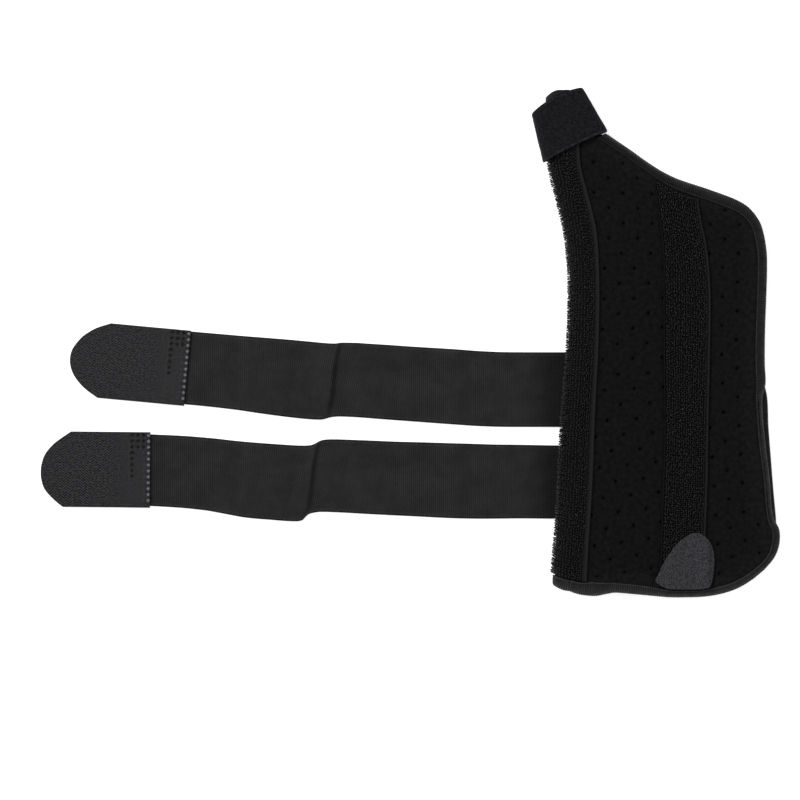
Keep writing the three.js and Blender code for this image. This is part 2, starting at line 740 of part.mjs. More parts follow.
function strapSolid(strap) {
  const rows = (height) =>
    strapStations(strap).map((out) => {
      const middle = strapMiddle(strap, out);
      const row = [];
      for (let c = 0; c <= STRAP_COLUMNS; c++) {
        const up = (0.5 - c / STRAP_COLUMNS) * STRAP_WIDTH;
        const nearWrinkle = smoothstep(WRINKLE_SPREAD - Math.abs(out - WRINKLE_PLACE), 0, WRINKLE_SPREAD);
        const nearTab = smoothstep(out, 1 - TAB_SPREAD, 1);
        const slant = up * (Math.tan(WRINKLE_LEAN) * nearWrinkle - Math.tan(strap.tabTurn) * nearTab);
        const off = Math.abs(out - WRINKLE_PLACE) * strap.reach * (2 / WRINKLE_WIDTH);
        const rise = off < 1 ? (WRINKLE_HEIGHT * (1 + Math.cos(Math.PI * off))) / 2 : 0;
        row.push(new THREE.Vector3(middle.x + slant, middle.y + up, height + rise));
      }
      return row;
    });
  return wallSolid(rows(STRAP_THICKNESS), rows(0));
}

// Hook tab: lies over the strap's end, then steps down to the surface. Its far end is an arc.
function hookTab(strap) {
  const end = strapMiddle(strap, 1);
  const away = new THREE.Vector3(-Math.cos(strap.tabTurn), -Math.sin(strap.tabTurn), 0);
  const aside = new THREE.Vector3(away.y, -away.x, 0);
  const half = HOOK_TAB_WIDTH / 2;
  const arcRadius = (half ** 2 + strap.tabRound ** 2) / (2 * strap.tabRound);
  const straight = strap.tabLength - strap.tabRound;
  const lapHeight = STRAP_THICKNESS + CLEARANCE;
  const lapEnd = HOOK_TAB_LAP + CLEARANCE;
  const stations = [
    { run: 0, share: 1 },
    { run: lapEnd, share: 1 },
    { run: lapEnd + HOOK_TAB_DROP, share: 1 },
  ];
  const widest = Math.asin(half / arcRadius);
  for (let i = 0; i < ARC_STEPS; i++) {
    const turn = widest * (1 - i / ARC_STEPS);
    const run = straight + arcRadius * Math.cos(turn) - (arcRadius - strap.tabRound);
    stations.push({ run, share: (arcRadius * Math.sin(turn)) / half });
  }
  const grid = (height) =>
    stations.map(({ run, share }) => {
      const fallen = THREE.MathUtils.clamp((run - lapEnd) / HOOK_TAB_DROP, 0, 1);
      const lift = lapHeight * (1 - fallen);
      const lean = Math.tan(strap.tabSkew) * smoothstep(run, lapEnd + HOOK_TAB_DROP, straight);
      const row = [];
      for (let c = 0; c <= STRAP_COLUMNS; c++) {
        const over = (c / STRAP_COLUMNS - 0.5) * 2 * half * share;
        const out = run - HOOK_TAB_LAP - lean * over;
        const point = end.clone().addScaledVector(away, out).addScaledVector(aside, over);
        point.z = lift + height;
        row.push(point);
      }
      return row;
    });
  return wallSolid(grid(HOOK_TAB_THICKNESS), grid(0));
}

const upperStrap = {
  reach: UPPER_STRAP_REACH,
  height: UPPER_STRAP_HEIGHT,
  route: UPPER_STRAP_ROUTE,
  tabLength: UPPER_TAB_LENGTH,
  tabRound: UPPER_TAB_ROUND,
  tabTurn: UPPER_TAB_TURN,
  tabSkew: UPPER_TAB_SKEW,
};
const lowerStrap = {
  reach: LOWER_STRAP_REACH,
  height: LOWER_STRAP_HEIGHT,
  route: LOWER_STRAP_ROUTE,
  tabLength: LOWER_TAB_LENGTH,
  tabRound: LOWER_TAB_ROUND,
  tabTurn: LOWER_TAB_TURN,
  tabSkew: LOWER_TAB_SKEW,
};

// Finishes.
function fabric(color, roughness) {
  return new THREE.MeshStandardMaterial({ color, roughness, metalness: 0 });
}

const neoprene = () => fabric(0x161617, 0.85);
const loopTape = () => fabric(0x18181a, 0.9);
const binding = () => fabric(0x2b2b2d, 0.8);
const elastic = () => fabric(0x29292b, 0.85);
const hookBacking = () => fabric(0x2f2e31, 0.7);
const brushedLoop = () => fabric(0x1d1d1f, 0.95);
const greyLoop = () => fabric(0x434247, 0.9);

const pieces = [
  ["folded_shell", foldedShell(), neoprene()],
  ["front_edge_binding", frontBinding(), binding()],
  ["back_edge_binding", backBinding(), binding()],
  ["radial_tape", radialTape(), loopTape()],
  ["middle_tape", middleTape(), loopTape()],
  ["pocket_tab", pocketTab(), greyLoop()],
  ["thumb_band", thumbBand(), brushedLoop()],
  ["upper_strap", strapSolid(upperStrap), elastic()],
  ["lower_strap", strapSolid(lowerStrap), elastic()],
  ["upper_strap_tab", hookTab(upperStrap), hookBacking()],
  ["lower_strap_tab", hookTab(lowerStrap), hookBacking()],
];

const splint = new THREE.Group();
for (const [name, geometry, material] of pieces) {
  geometry.computeVertexNormals();
  const mesh = new THREE.Mesh(geometry, material);
  mesh.name = name;
  splint.add(mesh);
}

// The origin is on the surface, under the middle of the whole splint.
const extent = new THREE.Box3().setFromObject(splint);
const centre = extent.getCenter(new THREE.Vector3());
splint.position.set(-centre.x, -centre.y, -extent.min.z);

export default splint;
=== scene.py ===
import math

import bpy
import numpy as np
from mathutils import Matrix, Vector, noise
from mathutils.geometry import delaunay_2d_cdt


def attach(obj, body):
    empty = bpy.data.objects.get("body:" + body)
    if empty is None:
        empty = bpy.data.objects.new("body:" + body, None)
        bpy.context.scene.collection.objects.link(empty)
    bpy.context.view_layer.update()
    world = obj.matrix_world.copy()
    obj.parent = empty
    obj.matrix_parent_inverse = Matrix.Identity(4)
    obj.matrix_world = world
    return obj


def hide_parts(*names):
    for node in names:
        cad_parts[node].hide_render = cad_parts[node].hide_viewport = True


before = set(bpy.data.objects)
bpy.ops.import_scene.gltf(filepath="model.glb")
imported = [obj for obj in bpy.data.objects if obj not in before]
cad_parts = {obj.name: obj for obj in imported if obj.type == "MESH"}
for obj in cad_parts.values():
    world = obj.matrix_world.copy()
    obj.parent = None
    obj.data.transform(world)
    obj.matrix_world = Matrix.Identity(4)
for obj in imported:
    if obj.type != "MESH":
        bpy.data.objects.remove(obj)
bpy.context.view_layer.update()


# ---- Surface, light and camera
# A plain pale board, one wide soft lamp from the upper left and an even pale sky. The camera
# looks straight down from far off, so that the splint's plan shows almost without perspective.

VIEW_WIDTH = 0.4054  # what the camera frames, at the height of the cloth
VIEW_CENTRE = Vector((-0.00506, -0.02924, 0.006))
LENS = 200
SENSOR = 36
FLOOR_SIZE = 6.0
FLOOR_DROP = 0.0002

scene = bpy.context.scene
scene.view_settings.view_transform = "Standard"

camera = bpy.data.objects.new("camera", bpy.data.cameras.new("camera"))
camera.data.lens = LENS
camera.data.sensor_width = SENSOR
camera.location = VIEW_CENTRE + Vector((0, 0, VIEW_WIDTH * LENS / SENSOR))
scene.collection.objects.link(camera)
scene.camera = camera


def fill(tree, node, inputs):
    """Sets a node's inputs, or links those that come from another node."""
    for key, value in inputs.items():
        if isinstance(value, bpy.types.NodeSocket):
            tree.links.new(value, node.inputs[key])
        else:
            node.inputs[key].default_value = value


def node_adder(tree):
    """A function that adds a node to a tree and gives an output of it: its first, or one by name."""

    def add(kind, inputs=None, output=None, **settings):
        node = tree.nodes.new(kind)
        for key, value in settings.items():
            setattr(node, key, value)
        fill(tree, node, inputs or {})
        if output:
            return node.outputs[output]
        return next((found for found in node.outputs if found.enabled), None)

    return add


def new_finish(name, colour, roughness, gloss):
    """A finish, a function that adds a node to it and one that feeds its shader."""
    finish = bpy.data.materials.new(name)
    finish.use_nodes = True
    tree = finish.node_tree
    shader = tree.nodes["Principled BSDF"]

    def feed(socket, value):
        fill(tree, shader, {socket: value})

    feed("Base Color", colour)
    feed("Roughness", roughness)
    feed("Specular IOR Level", gloss)
    return finish, node_adder(tree), feed


def roughen(add, feed, strength, distance, height):
    bump = add("ShaderNodeBump", {"Strength": strength, "Distance": distance, "Height": height})
    feed("Normal", bump)


def board_finish():
    """Matt white board. A little light of its own keeps it pale right up to its far edges."""
    finish, add, feed = new_finish("board", (0.86, 0.86, 0.86, 1), 0.9, 0.2)
    feed("Emission Color", (1, 1, 1, 1))
    feed("Emission Strength", 0.7)
    roughen(add, feed, 0.05, 0.0002, add("ShaderNodeTexNoise", {"Scale": 900.0, "Detail": 3.0}))
    return finish


floor_mesh = bpy.data.meshes.new("floor")
half_floor = FLOOR_SIZE / 2
floor_mesh.from_pydata(
    [(sx * half_floor, sy * half_floor, -FLOOR_DROP) for sx, sy in ((-1, -1), (1, -1), (1, 1), (-1, 1))],
    [],
    [(0, 1, 2, 3)],
)
floor_mesh.materials.append(board_finish())
floor = bpy.data.objects.new("floor", floor_mesh)
scene.collection.objects.link(floor)


def soft_lamp(name, place, aim, size, power):
    """A square lamp turned towards a point."""
    lamp = bpy.data.lights.new(name, "AREA")
    lamp.shape = "SQUARE"
    lamp.size = size
    lamp.energy = power
    holder = bpy.data.objects.new(name, lamp)
    holder.location = place
    holder.rotation_euler = (Vector(aim) - Vector(place)).to_track_quat("-Z", "Y").to_euler()
    scene.collection.objects.link(holder)


soft_lamp("key_lamp", (-0.9, 0.7, 1.3), (0, 0, 0), 0.9, 18)
soft_lamp("fill_lamp", (1.2, -0.5, 1.5), (0, 0, 0), 1.4, 6)
sky = bpy.data.worlds.new("sky")
sky.use_nodes = True
sky.node_tree.nodes["Background"].inputs["Color"].default_value = (1, 1, 1, 1)
sky.node_tree.nodes["Background"].inputs["Strength"].default_value = 0.37
scene.world = sky


# ---- Folded shell
# One panel of perforated neoprene foam with a knit face on both sides, folded along its radial
# side so that a back leaf lies under a front leaf. Its pinholes are punched right through.

MM = 0.001
SPLINT_PLACE = np.array([71.954, -128.556, 0.0])  # foot of the fold line, in millimetres

SPLINT_LENGTH = 256.0
BODY_WIDTH = 115.0
SHELL_THICKNESS = 2.5
HALF_SHELL = SHELL_THICKNESS / 2
WRIST_HOLLOW = 9.0
THUMB_HOLLOW = 5.0
BASE_ROUND = 2.2
TIP_ROUND = 3.6
CLEARANCE = 0.3
TAPE_STACK = CLEARANCE + 1.7  # top of a loop tape over the shell
BINDING_OUT = CLEARANCE + 0.8
BINDING_DEPTH = 4.2
SHELL_REST = 1.8
EDGE_HOLLOW = 2.8
STRAP_ROOT = 40.0
NECK = (0.72, 0.84)
HOLLOW_END = 0.58
SETTLE_END = 0.2
TIP = SPLINT_LENGTH
BASE = 0.017 * SPLINT_LENGTH

# Shares of BODY_WIDTH from the fold, of SPLINT_LENGTH from the forearm edge, and of BINDING_DEPTH.
FOLD_LINE = [  # along, across
    (0.0, -0.002), (0.03, -0.006), (0.071, 0.0), (0.19, 0.021), (0.33, 0.035), (0.487, 0.062),
    (0.618, 0.07), (0.713, 0.053), (0.784, 0.018), (0.852, -0.018), (0.92, -0.026), (1.0, -0.031),
]
TOP_EDGE = [  # across, along, binding
    (0.088, 0.998, 0.7), (0.119, 0.98, 0.7), (0.145, 0.96, 0.7), (0.167, 0.941, 0.7),
    (0.184, 0.921, 0.7), (0.214, 0.9125, 0.7), (0.238, 0.9075, 0.7), (0.262, 0.9, 0.7), (0.335, 0.878, 0.7),
    (0.407, 0.855, 0.75), (0.478, 0.835, 0.9), (0.548, 0.82, 1), (0.688, 0.799, 1),
    (0.811, 0.778, 1), (0.855, 0.766, 1), (0.883, 0.753, 0.95),
]
FRONT_SIDE = [  # across, along, binding
    (0.965, 0.077, 0.55), (0.982, 0.093, 0.6), (0.99, 0.111, 0.6), (0.987, 0.131, 0.55),
    (0.965, 0.15, 0.4), (0.954, 0.174, 0.35), (0.945, 0.23, 0.4), (0.927, 0.299, 0.45),
    (0.914, 0.364, 0.4), (0.914, 0.396, 0.5), (0.927, 0.42, 0.8), (0.924, 0.459, 0.8),
    (0.925, 0.523, 0.8), (0.93, 0.586, 0.8), (0.934, 0.65, 0.8), (0.932, 0.681, 0.8),
    (0.92, 0.715, 0.85), (0.905, 0.737, 0.9),
]
BACK_SIDE = [  # across, along, binding
    (0.956, 0.077, 1), (0.974, 0.093, 1), (0.98, 0.111, 1), (0.977, 0.15, 1), (0.966, 0.206, 1),
    (0.955, 0.269, 1), (0.944, 0.333, 1), (0.9375, 0.394, 1), (0.92, 0.43, 1), (0.916, 0.5, 1),
    (0.922, 0.6, 1), (0.925, 0.66, 1), (0.912, 0.713, 1), (0.9, 0.735, 1),
]
BOTTOM_EDGE = [  # across, along, binding
    (0.115, 0.0105, 1.1), (0.184, 0.007, 1.35), (0.225, 0.01, 1.1), (0.267, 0.0133, 0.85),
    (0.357, 0.0103, 0.8), (0.434, 0.007, 0.7), (0.511, 0.0038, 0.5), (0.59, 0.0034, 0.5),
    (0.661, 0.0044, 0.5), (0.731, 0.009, 0.55), (0.808, 0.02, 0.55), (0.872, 0.0366, 0.55),
    (0.927, 0.0564, 0.55),
]

# Pinholes: staggered columns that lean with the cut of the panel.
PINHOLE_RADIUS = 0.49
PINHOLE_DIMPLE = 1.5
PINHOLE_SINK = 0.6
PINHOLE_MARGIN = 6.1  # least distance from a cut edge
PINHOLE_CLOSING = 0.55  # most that the knit draws a hole together
PINHOLE_SIDES = 10
HOLE_COLUMNS = range(-3, 13)
HOLE_ROWS = range(-10, 9)
HOLE_COLUMN = 7.575  # from one column to the next
HOLE_PITCH = 15.35  # from one hole to the next in a column
HOLE_PITCH_LOSS = 0.09  # how much closer they come with each column
HOLE_RISE = 0.25
HOLE_ORIGIN = (25.3, 134.9)
HOLE_DRIFT = [  # along, shift of the first column in millimetres
    (0.06, 11.0), (0.107, 9.6), (0.164, 8.1), (0.226, 6.6), (0.283, 4.6), (0.344, 2.5),
    (0.406, 1.0), (0.465, 0.0), (0.527, 0.0), (0.584, 0.8), (0.647, 1.0), (0.705, 3.0), (0.825, 3.0),
]
DRIFT_FADE = 0.062  # share of the drift that each further column loses
BACK_SHIFT = (3.6, 4.2)  # how far the back leaf's holes lie off those of the front leaf
PANEL_GRID = 2.4
EDGE_STEP = 0.9
FOLD_STEPS = 24
PALE_MARGIN = 9.0  # how far in from the binding the knit is paler
MARGIN_PALER = 0.45
# painted shade: how much darker the pinholes' sunk rims are painted
PAINTED_HOLE_SHADE = 0.6


def smoothstep(at, low, high):
    share = np.clip((at - low) / (high - low), 0, 1)
    return share * share * (3 - 2 * share)


def read_table(rows, at, column=1):
    """Value of a column on a smooth curve through the rows of a table."""
    place = np.array([row[0] for row in rows], float)
    value = np.array([row[column] for row in rows], float)
    last = len(rows) - 1
    at = np.clip(at, place[0], place[-1])
    i = np.clip(np.searchsorted(place, at, side="right") - 1, 0, last - 1)
    before, after = np.maximum(i - 1, 0), np.minimum(i + 2, last)
    step = place[i + 1] - place[i]
    t = (at - place[i]) / step
    start = (value[i + 1] - value[before]) / (place[i + 1] - place[before]) * step
    end = (value[after] - value[i]) / (place[after] - place[i]) * step
    bend = (2 * t**3 - 3 * t**2 + 1) * value[i] + (3 * t**2 - 2 * t**3) * value[i + 1]
    return bend + (t**3 - 2 * t**2 + t) * start + (t**3 - t**2) * end


# A place on the folded sheet is its reach over the sheet from the fold line, positive on the front
# leaf and negative on the back leaf, and its y.


def neck_share(y):
    return smoothstep(y / SPLINT_LENGTH, *NECK)


def fold_edge(y):
    return read_table(FOLD_LINE, y / SPLINT_LENGTH) * BODY_WIDTH


def fold_hollow(y):
    return WRIST_HOLLOW + (THUMB_HOLLOW - WRIST_HOLLOW) * neck_share(y)


def fold_radius(y):
    return (fold_hollow(y) + SHELL_THICKNESS) / 2


def leaf_start(y):
    return fold_edge(y) + TAPE_STACK + HALF_SHELL + fold_radius(y)


def reach_at(x, y):
    return x - leaf_start(y) + fold_radius(y) * math.pi / 2


def back_height(beyond):
    settled = smoothstep(beyond, STRAP_ROOT, STRAP_ROOT + SETTLE_END * BODY_WIDTH)
    return SHELL_REST + (BINDING_OUT - SHELL_REST) * settled + HALF_SHELL


def hollow_at(beyond, y):
    edge = EDGE_HOLLOW + (THUMB_HOLLOW - EDGE_HOLLOW) * neck_share(y)
    return fold_hollow(y) + (edge - fold_hollow(y)) * smoothstep(beyond, 0, HOLLOW_END * BODY_WIDTH)


def sheet_points(reach, y):
    radius = fold_radius(y)
    quarter = radius * math.pi / 2
    turn = np.clip(reach, -quarter, quarter) / radius
    beyond = np.maximum(np.abs(reach) - quarter, 0)
    x = leaf_start(y) - radius * np.cos(turn) + beyond
    front = back_height(beyond) + SHELL_THICKNESS + hollow_at(beyond, y)
    level = np.where(reach > 0, front, back_height(beyond))
    z = np.where(beyond > 0, level, back_height(0.0) + radius * (1 + np.sin(turn)))
    return np.stack([x, y, z], -1)


def sheet_normals(reach, y, step=0.05):
    across = sheet_points(reach + step, y) - sheet_points(reach - step, y)
    along = sheet_points(reach, y + step) - sheet_points(reach, y - step)
    normal = np.cross(across, along)
    return normal / np.linalg.norm(normal, axis=-1, keepdims=True)


def placed(points):
    """Points of the splint in metres in the part's frame."""
    return (points + SPLINT_PLACE) * MM


def on_sheet(reach, y, height):
    """Placed points off the sheet by a height along its outward normal."""
    reach, y, height = np.broadcast_arrays(reach, y, height)
    return placed(sheet_points(reach, y) + sheet_normals(reach, y) * height[..., None])


def smooth_line(points, per_span=40):
    """A centripetal spline through points, as a dense line with its length so far."""
    points = np.array(points, float)
    first = 2 * points[0] - points[1]
    last = 2 * points[-1] - points[-2]
    knots = np.vstack([first, points, last])
    line = []
    for i in range(1, len(knots) - 2):
        p0, p1, p2, p3 = knots[i - 1 : i + 3]
        d0, d1, d2 = (np.linalg.norm(b - a) ** 0.5 for a, b in ((p0, p1), (p1, p2), (p2, p3)))
        start = ((p1 - p0) / d0 - (p2 - p0) / (d0 + d1) + (p2 - p1) / d1) * d1
        end = ((p2 - p1) / d1 - (p3 - p1) / (d1 + d2) + (p3 - p2) / d2) * d1
        t = (np.arange(per_span) / per_span)[:, None]
        bend = (2 * t**3 - 3 * t**2 + 1) * p1 + (3 * t**2 - 2 * t**3) * p2
        line.append(bend + (t**3 - 2 * t**2 + t) * start + (t**3 - t**2) * end)
    return np.vstack([*line, points[-1:]])


def evenly(line, step):
    """A line resampled at even steps of its length, measured over its first two coordinates."""
    gaps = np.linalg.norm(np.diff(line[:, :2], axis=0), axis=1)
    far = np.concatenate([[0], np.cumsum(gaps)])
    stops = np.linspace(0, far[-1], max(round(far[-1] / step), 1) + 1)
    return np.stack([np.interp(stops, far, line[:, i]) for i in range(line.shape[1])], -1)


def edge_point(row):
    across, along, binding = row
    return (across * BODY_WIDTH, along * SPLINT_LENGTH, binding * BINDING_DEPTH)


top_rows = [edge_point(row) for row in TOP_EDGE]
bottom_rows = [edge_point(row) for row in BOTTOM_EDGE]
top_line = smooth_line([(leaf_start(TIP), TIP, BINDING_DEPTH), *top_rows])
bottom_line = smooth_line([(leaf_start(BASE), BASE, BINDING_DEPTH), *bottom_rows])


def leaf_edge(side_rows):
    """Cut edge of a leaf: reach, y and binding depth, from the fold at the forearm to the tip."""
    side = smooth_line([bottom_rows[-1], *map(edge_point, side_rows), top_rows[-1]])
    line = np.vstack([bottom_line[:-1], side[:-1], top_line[::-1]])
    return np.stack([reach_at(line[:, 0], line[:, 1]), line[:, 1], line[:, 2]], -1)


def fold_edge_line(turns, foot, round_in):
    """Cut edge round the fold, drawn back where it crosses the fold line."""
    y = foot + round_in * np.cos(turns) ** 2
    return np.stack([turns * fold_radius(y), y, np.full_like(y, BINDING_DEPTH)], -1)


front_edge = leaf_edge(FRONT_SIDE)
back_edge = leaf_edge(BACK_SIDE)


def inside(outline, points):
    """Which points lie in a closed outline."""
    x, y = points[:, 0], points[:, 1]
    result = np.zeros(len(points), bool)
    for (x0, y0), (x1, y1) in zip(outline, np.roll(outline, -1, axis=0)):
        if y0 == y1:
            continue
        crosses = ((y0 > y) != (y1 > y)) & (x < (x1 - x0) * (y - y0) / (y1 - y0) + x0)
        result ^= crosses
    return result


def nearest(points, others):
    """Distance from each point to the nearest of some others."""
    return np.array([np.linalg.norm(others - point, axis=1).min() for point in points])


def pinhole_centres(edge, sign, shift=(0, 0)):
    """Where the punch went through one leaf, as reach and y."""
    places = []
    for column in HOLE_COLUMNS:
        pitch = HOLE_PITCH - HOLE_PITCH_LOSS * column
        middle = HOLE_ORIGIN[1] + HOLE_RISE * column + (pitch / 2 if column % 2 else 0)
        for row in HOLE_ROWS:
            y = middle + row * pitch
            drift = read_table(HOLE_DRIFT, y / SPLINT_LENGTH) * (1 - DRIFT_FADE * column)
            places.append((HOLE_ORIGIN[0] + HOLE_COLUMN * column + drift, y))
    places = np.array(places) + shift
    flat = np.stack([reach_at(places[:, 0], places[:, 1]), places[:, 1]], -1)
    kept = inside(edge[:, :2], flat)
    kept &= flat[:, 0] > fold_radius(flat[:, 1]) * math.pi / 2
    flat = flat[kept]
    flat = flat[nearest(flat, edge[::6, :2]) > PINHOLE_MARGIN]
    return flat * (sign, 1)


def panel_outline():
    turns = np.linspace(-math.pi / 2, math.pi / 2, FOLD_STEPS)
    bottom = fold_edge_line(turns, BASE, BASE_ROUND)[1:-1]
    top = fold_edge_line(turns[::-1], TIP, -TIP_ROUND)[1:-1]
    mirrored = back_edge[::-1] * (-1, 1, 1)
    front, back = (evenly(edge, EDGE_STEP) for edge in (front_edge, mirrored))
    return np.vstack([bottom, front, top, back])[:, :2]


def cloth_piece(name, points, faces, finish, flat):
    """A mesh piece at the origin. flat gives the place of each point on the cloth, in metres."""
    mesh = bpy.data.meshes.new(name)
    mesh.from_pydata(np.asarray(points).tolist(), [], [tuple(face) for face in faces])
    mesh.materials.append(finish)
    corners = np.empty(len(mesh.loops), int)
    mesh.loops.foreach_get("vertex_index", corners)
    layer = mesh.uv_layers.new(name="cloth")
    layer.data.foreach_set("uv", np.asarray(flat)[corners].astype(float).ravel())
    mesh.polygons.foreach_set("use_smooth", [True] * len(mesh.polygons))
    mesh.update()
    piece = bpy.data.objects.new(name, mesh)
    scene.collection.objects.link(piece)
    return piece


def mark(piece, label, values):
    """Gives each point of a piece a number that its finish reads."""
    layer = piece.data.attributes.new(label, "FLOAT", "POINT")
    layer.data.foreach_set("value", np.ravel(values))


def punched_panel():
    """The flat panel cut into triangles, with its holes, then wrapped into the folded shell."""
    outline = panel_outline()
    holes = np.vstack([pinhole_centres(front_edge, 1), pinhole_centres(back_edge, -1, BACK_SHIFT)])
    angles = np.arange(PINHOLE_SIDES) * 2 * math.pi / PINHOLE_SIDES
    ring = np.stack([np.cos(angles), np.sin(angles)], -1)
    chance = np.random.default_rng(11)
    drawn = 1 - PINHOLE_CLOSING * chance.random((len(holes), 1))
    ways = chance.uniform(0, math.pi, (len(holes), 1))
    narrowed = np.hypot(np.sin(angles - ways), drawn * np.cos(angles - ways))
    rounds = PINHOLE_RADIUS * drawn / narrowed
    rims = (holes[:, None] + rounds[..., None] * ring).reshape(-1, 2)
    dimples = (holes[:, None] + PINHOLE_DIMPLE * ring).reshape(-1, 2)
    low, high = outline.min(0), outline.max(0)
    across = np.arange(low[0], high[0], PANEL_GRID)
    along = np.arange(low[1], high[1], PANEL_GRID * 0.866)
    shifts = [(j % 2) * PANEL_GRID / 2 for j in range(len(along))]
    grid = np.array([(x + shift, y) for shift, y in zip(shifts, along) for x in across])
    grid = grid[inside(outline, grid)]
    grid = grid[nearest(grid, outline) > 0.6 * EDGE_STEP]
    grid = grid[nearest(grid, holes) > PINHOLE_DIMPLE + 1.0]
    points = np.vstack([outline, rims, dimples, grid])
    loops = [np.arange(len(outline))]
    loops += [len(outline) + i * PINHOLE_SIDES + np.arange(PINHOLE_SIDES) for i in range(len(holes))]
    edges = [(int(a), int(b)) for loop in loops for a, b in zip(loop, np.roll(loop, -1))]
    cut = delaunay_2d_cdt([Vector(p) for p in points.tolist()], edges, [], 0, 1e-6)
    source = np.array([found[0] for found in cut[3]])
    triangles = source[np.array(cut[2])]
    middle = points[triangles].mean(1)
    rim_index = triangles - len(outline)
    in_hole = ((rim_index >= 0) & (rim_index < len(rims))).all(1)
    same_hole = np.ptp(rim_index // PINHOLE_SIDES, axis=1) == 0
    triangles = triangles[inside(outline, middle) & ~(in_hole & same_hole)]
    a, b, c = points[triangles].transpose(1, 0, 2)
    turned = np.cross(b - a, c - a) < 0
    triangles[turned] = triangles[turned][:, ::-1]
    at_rim = np.zeros(len(points))
    at_rim[len(outline) : len(outline) + len(rims)] = 1
    outer = on_sheet(points[:, 0], points[:, 1], HALF_SHELL - PINHOLE_SINK * at_rim)
    inner = on_sheet(points[:, 0], points[:, 1], -HALF_SHELL)
    count = len(points)
    faces = [*triangles, *(triangles[:, ::-1] + count)]
    for loop in loops:
        # The outline runs anticlockwise and so do the rims, so a rim's wall faces the other way.
        ends = zip(loop, np.roll(loop, -1)) if loop is loops[0] else zip(np.roll(loop, -1), loop)
        faces += [(a + count, b + count, b, a) for a, b in ends]
    flat = np.vstack([points, points]) * MM
    return np.vstack([outer, inner]), faces, flat, np.concatenate([at_rim, at_rim])


def grey(level, blue=1.05):
    """A dark grey, a little bluer than it is red or green."""
    return (level, level, level * blue, 1)


def cloth_place(add):
    return add("ShaderNodeUVMap", uv_map="cloth")


def marked(add, label):
    return add("ShaderNodeAttribute", output="Fac", attribute_name=label)


def reckon(add, operation, *values):
    return add("ShaderNodeMath", dict(enumerate(values)), operation=operation)


def threads(add, place, scale, bands, distortion, **more):
    """Fine waves across X or Y, like the threads of a cloth."""
    inputs = {"Vector": place, "Scale": scale, "Distortion": distortion, **more}
    return add("ShaderNodeTexWave", inputs, "Fac", bands_direction=bands)


def speckle(add, place, scale, detail, **more):
    return add("ShaderNodeTexNoise", {"Vector": place, "Scale": scale, "Detail": detail, **more})


def spread(add, value, low, high, bottom=0.0, top=1.0):
    """A value's range from low to high drawn out, or in, to run from bottom to top."""
    return add("ShaderNodeMapRange", {"Value": value, "From Min": low, "From Max": high,
                                      "To Min": bottom, "To Max": top})


def blend(add, share, one, other):
    return add("ShaderNodeMix", {"Factor": share, "A": one, "B": other}, data_type="RGBA")


def mottled(add, speckles, one, other):
    """Two colours mixed by a noise, of which only the middle range counts."""
    return blend(add, spread(add, speckles, 0.36, 0.64), one, other)


def dimmed(add, colour, factor):
    return add("ShaderNodeVectorMath", {0: colour, "Scale": factor}, operation="SCALE")


def neoprene_finish():
    """Black jersey over foam: a fine knit with a soft, dull face, a faint mottle, paler margins and painted
    shade darkening the pinholes' sunk rims.
    """
    finish, add, feed = new_finish("neoprene", grey(0.005), 0.85, 0.08)
    flat = cloth_place(add)
    wales = threads(add, flat, 330.0, "X", 0.6, Detail=1.0)
    courses = threads(add, flat, 420.0, "Y", 0.8, Detail=1.0)
    nap = speckle(add, flat, 1400.0, 4.0)
    roughen(add, feed, 0.35, 0.0002, reckon(add, "MULTIPLY_ADD", wales, courses, nap))
    tint = mottled(add, speckle(add, flat, 420.0, 4.0), grey(0.0036), grey(0.0072))
    # The colour is paler along the bound margins and darker at the pinholes' sunk rims, painted shade in
    # the holes.
    feed("Base Color", dimmed(add, tint, marked(add, "pale_margin_and_hole_shade")))
    return finish


shell_points, shell_faces, shell_flat, at_rim = punched_panel()
shell = cloth_piece("folded_shell_cloth", shell_points, shell_faces, neoprene_finish(), shell_flat)
shell_edges = np.vstack([front_edge[::4, :2], back_edge[::4, :2] * (-1, 1)])
from_edge = nearest(shell_flat / MM, shell_edges) - BINDING_DEPTH
# Paler towards the bound edges; the pinholes' sunk rims are painted darker, painted shade in the holes.
pale_margin_and_hole_shade = 1 + MARGIN_PALER * (1 - smoothstep(from_edge, 0, PALE_MARGIN)) - PAINTED_HOLE_SHADE * at_rim
mark(shell, "pale_margin_and_hole_shade", pale_margin_and_hole_shade)
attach(shell, "root")
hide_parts("folded_shell")


# ---- Edge bindings
# Ribbed elastic tape, folded in half over the cut edge of each leaf and stitched through. The two
# stretches meet at the fold and end under the thumb band.

RIB_PITCH = 0.9
RIB_HEIGHT = 0.24
BINDING_SWELL = 0.45  # how much further out the soft elastic stands than its solid
BINDING_TONE = [  # along, how pale it has worn: most round the forearm, least at the thumb
    (0.0, 1.55), (0.06, 1.35), (0.12, 1.05), (0.4, 1.0), (0.65, 0.95), (0.78, 0.9), (0.85, 0.75),
    (0.93, 0.65),
]
BINDING_STEP = RIB_PITCH / 4
BINDING_SPAN = 0.02  # what its section counts for across its flat cloth, in metres
NECK_WORN = (0.77, 0.86)  # along: there its outer turn grows paler and the rest darker
OUTER_TURN = 8.4  # the place of that turn in the section
OUTER_TURN_SPREAD = 1.2
OUTER_TURN_PALER = 1.9
NECK_DARKER = 0.3
BEAD_WIDTH = 0.75
BEAD_HEIGHT = 0.18
BAND_LEFT_LOW = (-0.039, 0.857)  # ends of the thumb band's lower edge: across, along
BAND_RIGHT_LOW = (0.245, 0.919)
BAND_STATIONS = 12


def plan_point(place):
    return np.array([place[0] * BODY_WIDTH, place[1] * SPLINT_LENGTH])


